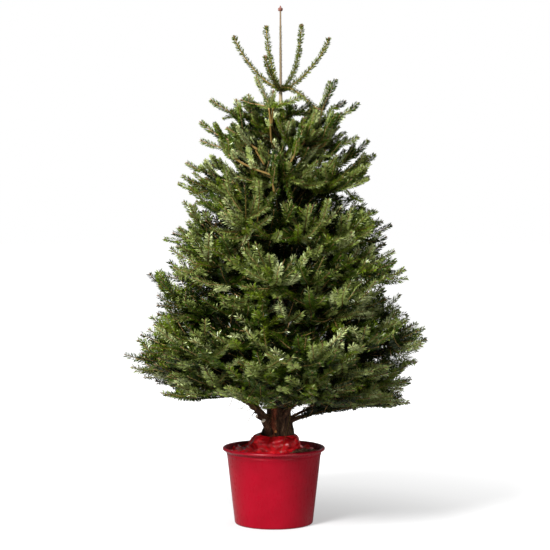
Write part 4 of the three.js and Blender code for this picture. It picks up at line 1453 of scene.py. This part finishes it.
makeFoliage()
makeTwigs()
makeBuds()
makeLeader(makeTopShoots())
makeTrunk()
makeStubs()
makeBoughs()
makeDeadTwigs()
makePot()
makeGround()
makeWrap()

# Camera, light and floor

view = {"aside": 0.0034, "distance": 4.97, "height": 0.945, "aim": 0.7230, "lens": 112.3}


def makeCamera():
    camera = bpy.data.cameras.new("camera")
    camera.lens = view["lens"]
    camera.sensor_width = 36
    holder = newObject("camera", camera)
    holder.location = (view["aside"], -view["distance"], view["height"])
    pitch = math.atan2(view["height"] - view["aim"], view["distance"])
    holder.rotation_euler = (math.pi / 2 - pitch, 0, 0)
    bpy.context.scene.camera = holder


lights = {
    "key": {"place": (-2.3, -3.5, 3.6), "aim": (0, 0, 0.6), "size": 1.6, "power": 670},
    "side": {"place": (2.6, -4.0, 1.3), "aim": (0, 0, 0.6), "size": 2.4, "power": 84},
    "back": {"place": (1.6, 3.2, 2.8), "aim": (0, 0, 0.8), "size": 2.0, "power": 60},
}
room = {
    "skySeen": 1.0,  # the backdrop is white
    "skyLight": 0.11,  # but lights the tree less
    "floorSize": 60.0,
    "glowReach": 4.0,  # metres from the pot over which the floor brightens into the backdrop
    "glow": [(0.03, "a8a8a8"), (0.08, "b8b8b8"), (0.18, "dcdcdc"), (0.40, "ffffff")],
}


def makeLights():
    for name, one in lights.items():
        lamp = bpy.data.lights.new(name, "AREA")
        lamp.shape = "DISK"
        lamp.size = one["size"]
        lamp.energy = one["power"]
        holder = newObject(name, lamp)
        holder.location = one["place"]
        heading = Vector(one["aim"]) - Vector(one["place"])
        holder.rotation_euler = heading.to_track_quat("-Z", "Y").to_euler()
    world = bpy.data.worlds.new("studio")
    bpy.context.scene.world = world
    world.use_nodes = True
    tree = world.node_tree
    seen = addNode(tree, "LightPath", "Is Camera Ray")
    strength = addNode(tree, "MapRange", "Result", {
        "Value": seen, "To Min": room["skyLight"], "To Max": room["skySeen"]})
    setInputs(tree, tree.nodes["Background"], {"Color": (1, 1, 1, 1), "Strength": strength})
    bpy.context.scene.view_settings.view_transform = "Standard"


def makeFloor():
    # painted studio floor that glows, to the camera only, a little more the further it is from the pot:
    # a painted glow, dimmest round the pot as painted shade, and brighter out where it covers the crown's
    # shadow
    material, tree, shader = newMaterial("paintedFloor", {
        "Base Color": linear("a2a2a2"), "Roughness": 0.9, "Specular IOR Level": 0.1})
    place = addNode(tree, "TexCoord", "Object")
    far = addNode(tree, "VectorMath", "Value", {0: place}, {"operation": "LENGTH"})
    share = addNode(tree, "MapRange", "Result", {"Value": far, "From Max": room["glowReach"]})
    glow = addNode(tree, "ValToRGB", "Color", {"Fac": share}, {"stops": room["glow"]})
    seen = addNode(tree, "LightPath", "Is Camera Ray")  # it lights nothing else
    setInputs(tree, shader, {"Emission Color": glow, "Emission Strength": seen})
    half = room["floorSize"] / 2
    points = [(-half, -half, 0), (half, -half, 0), (half, half, 0), (-half, half, 0)]
    meshPiece("floor", points, [[0, 1, 2], [0, 2, 3]], [material])


makeCamera()
makeLights()
makeFloor()
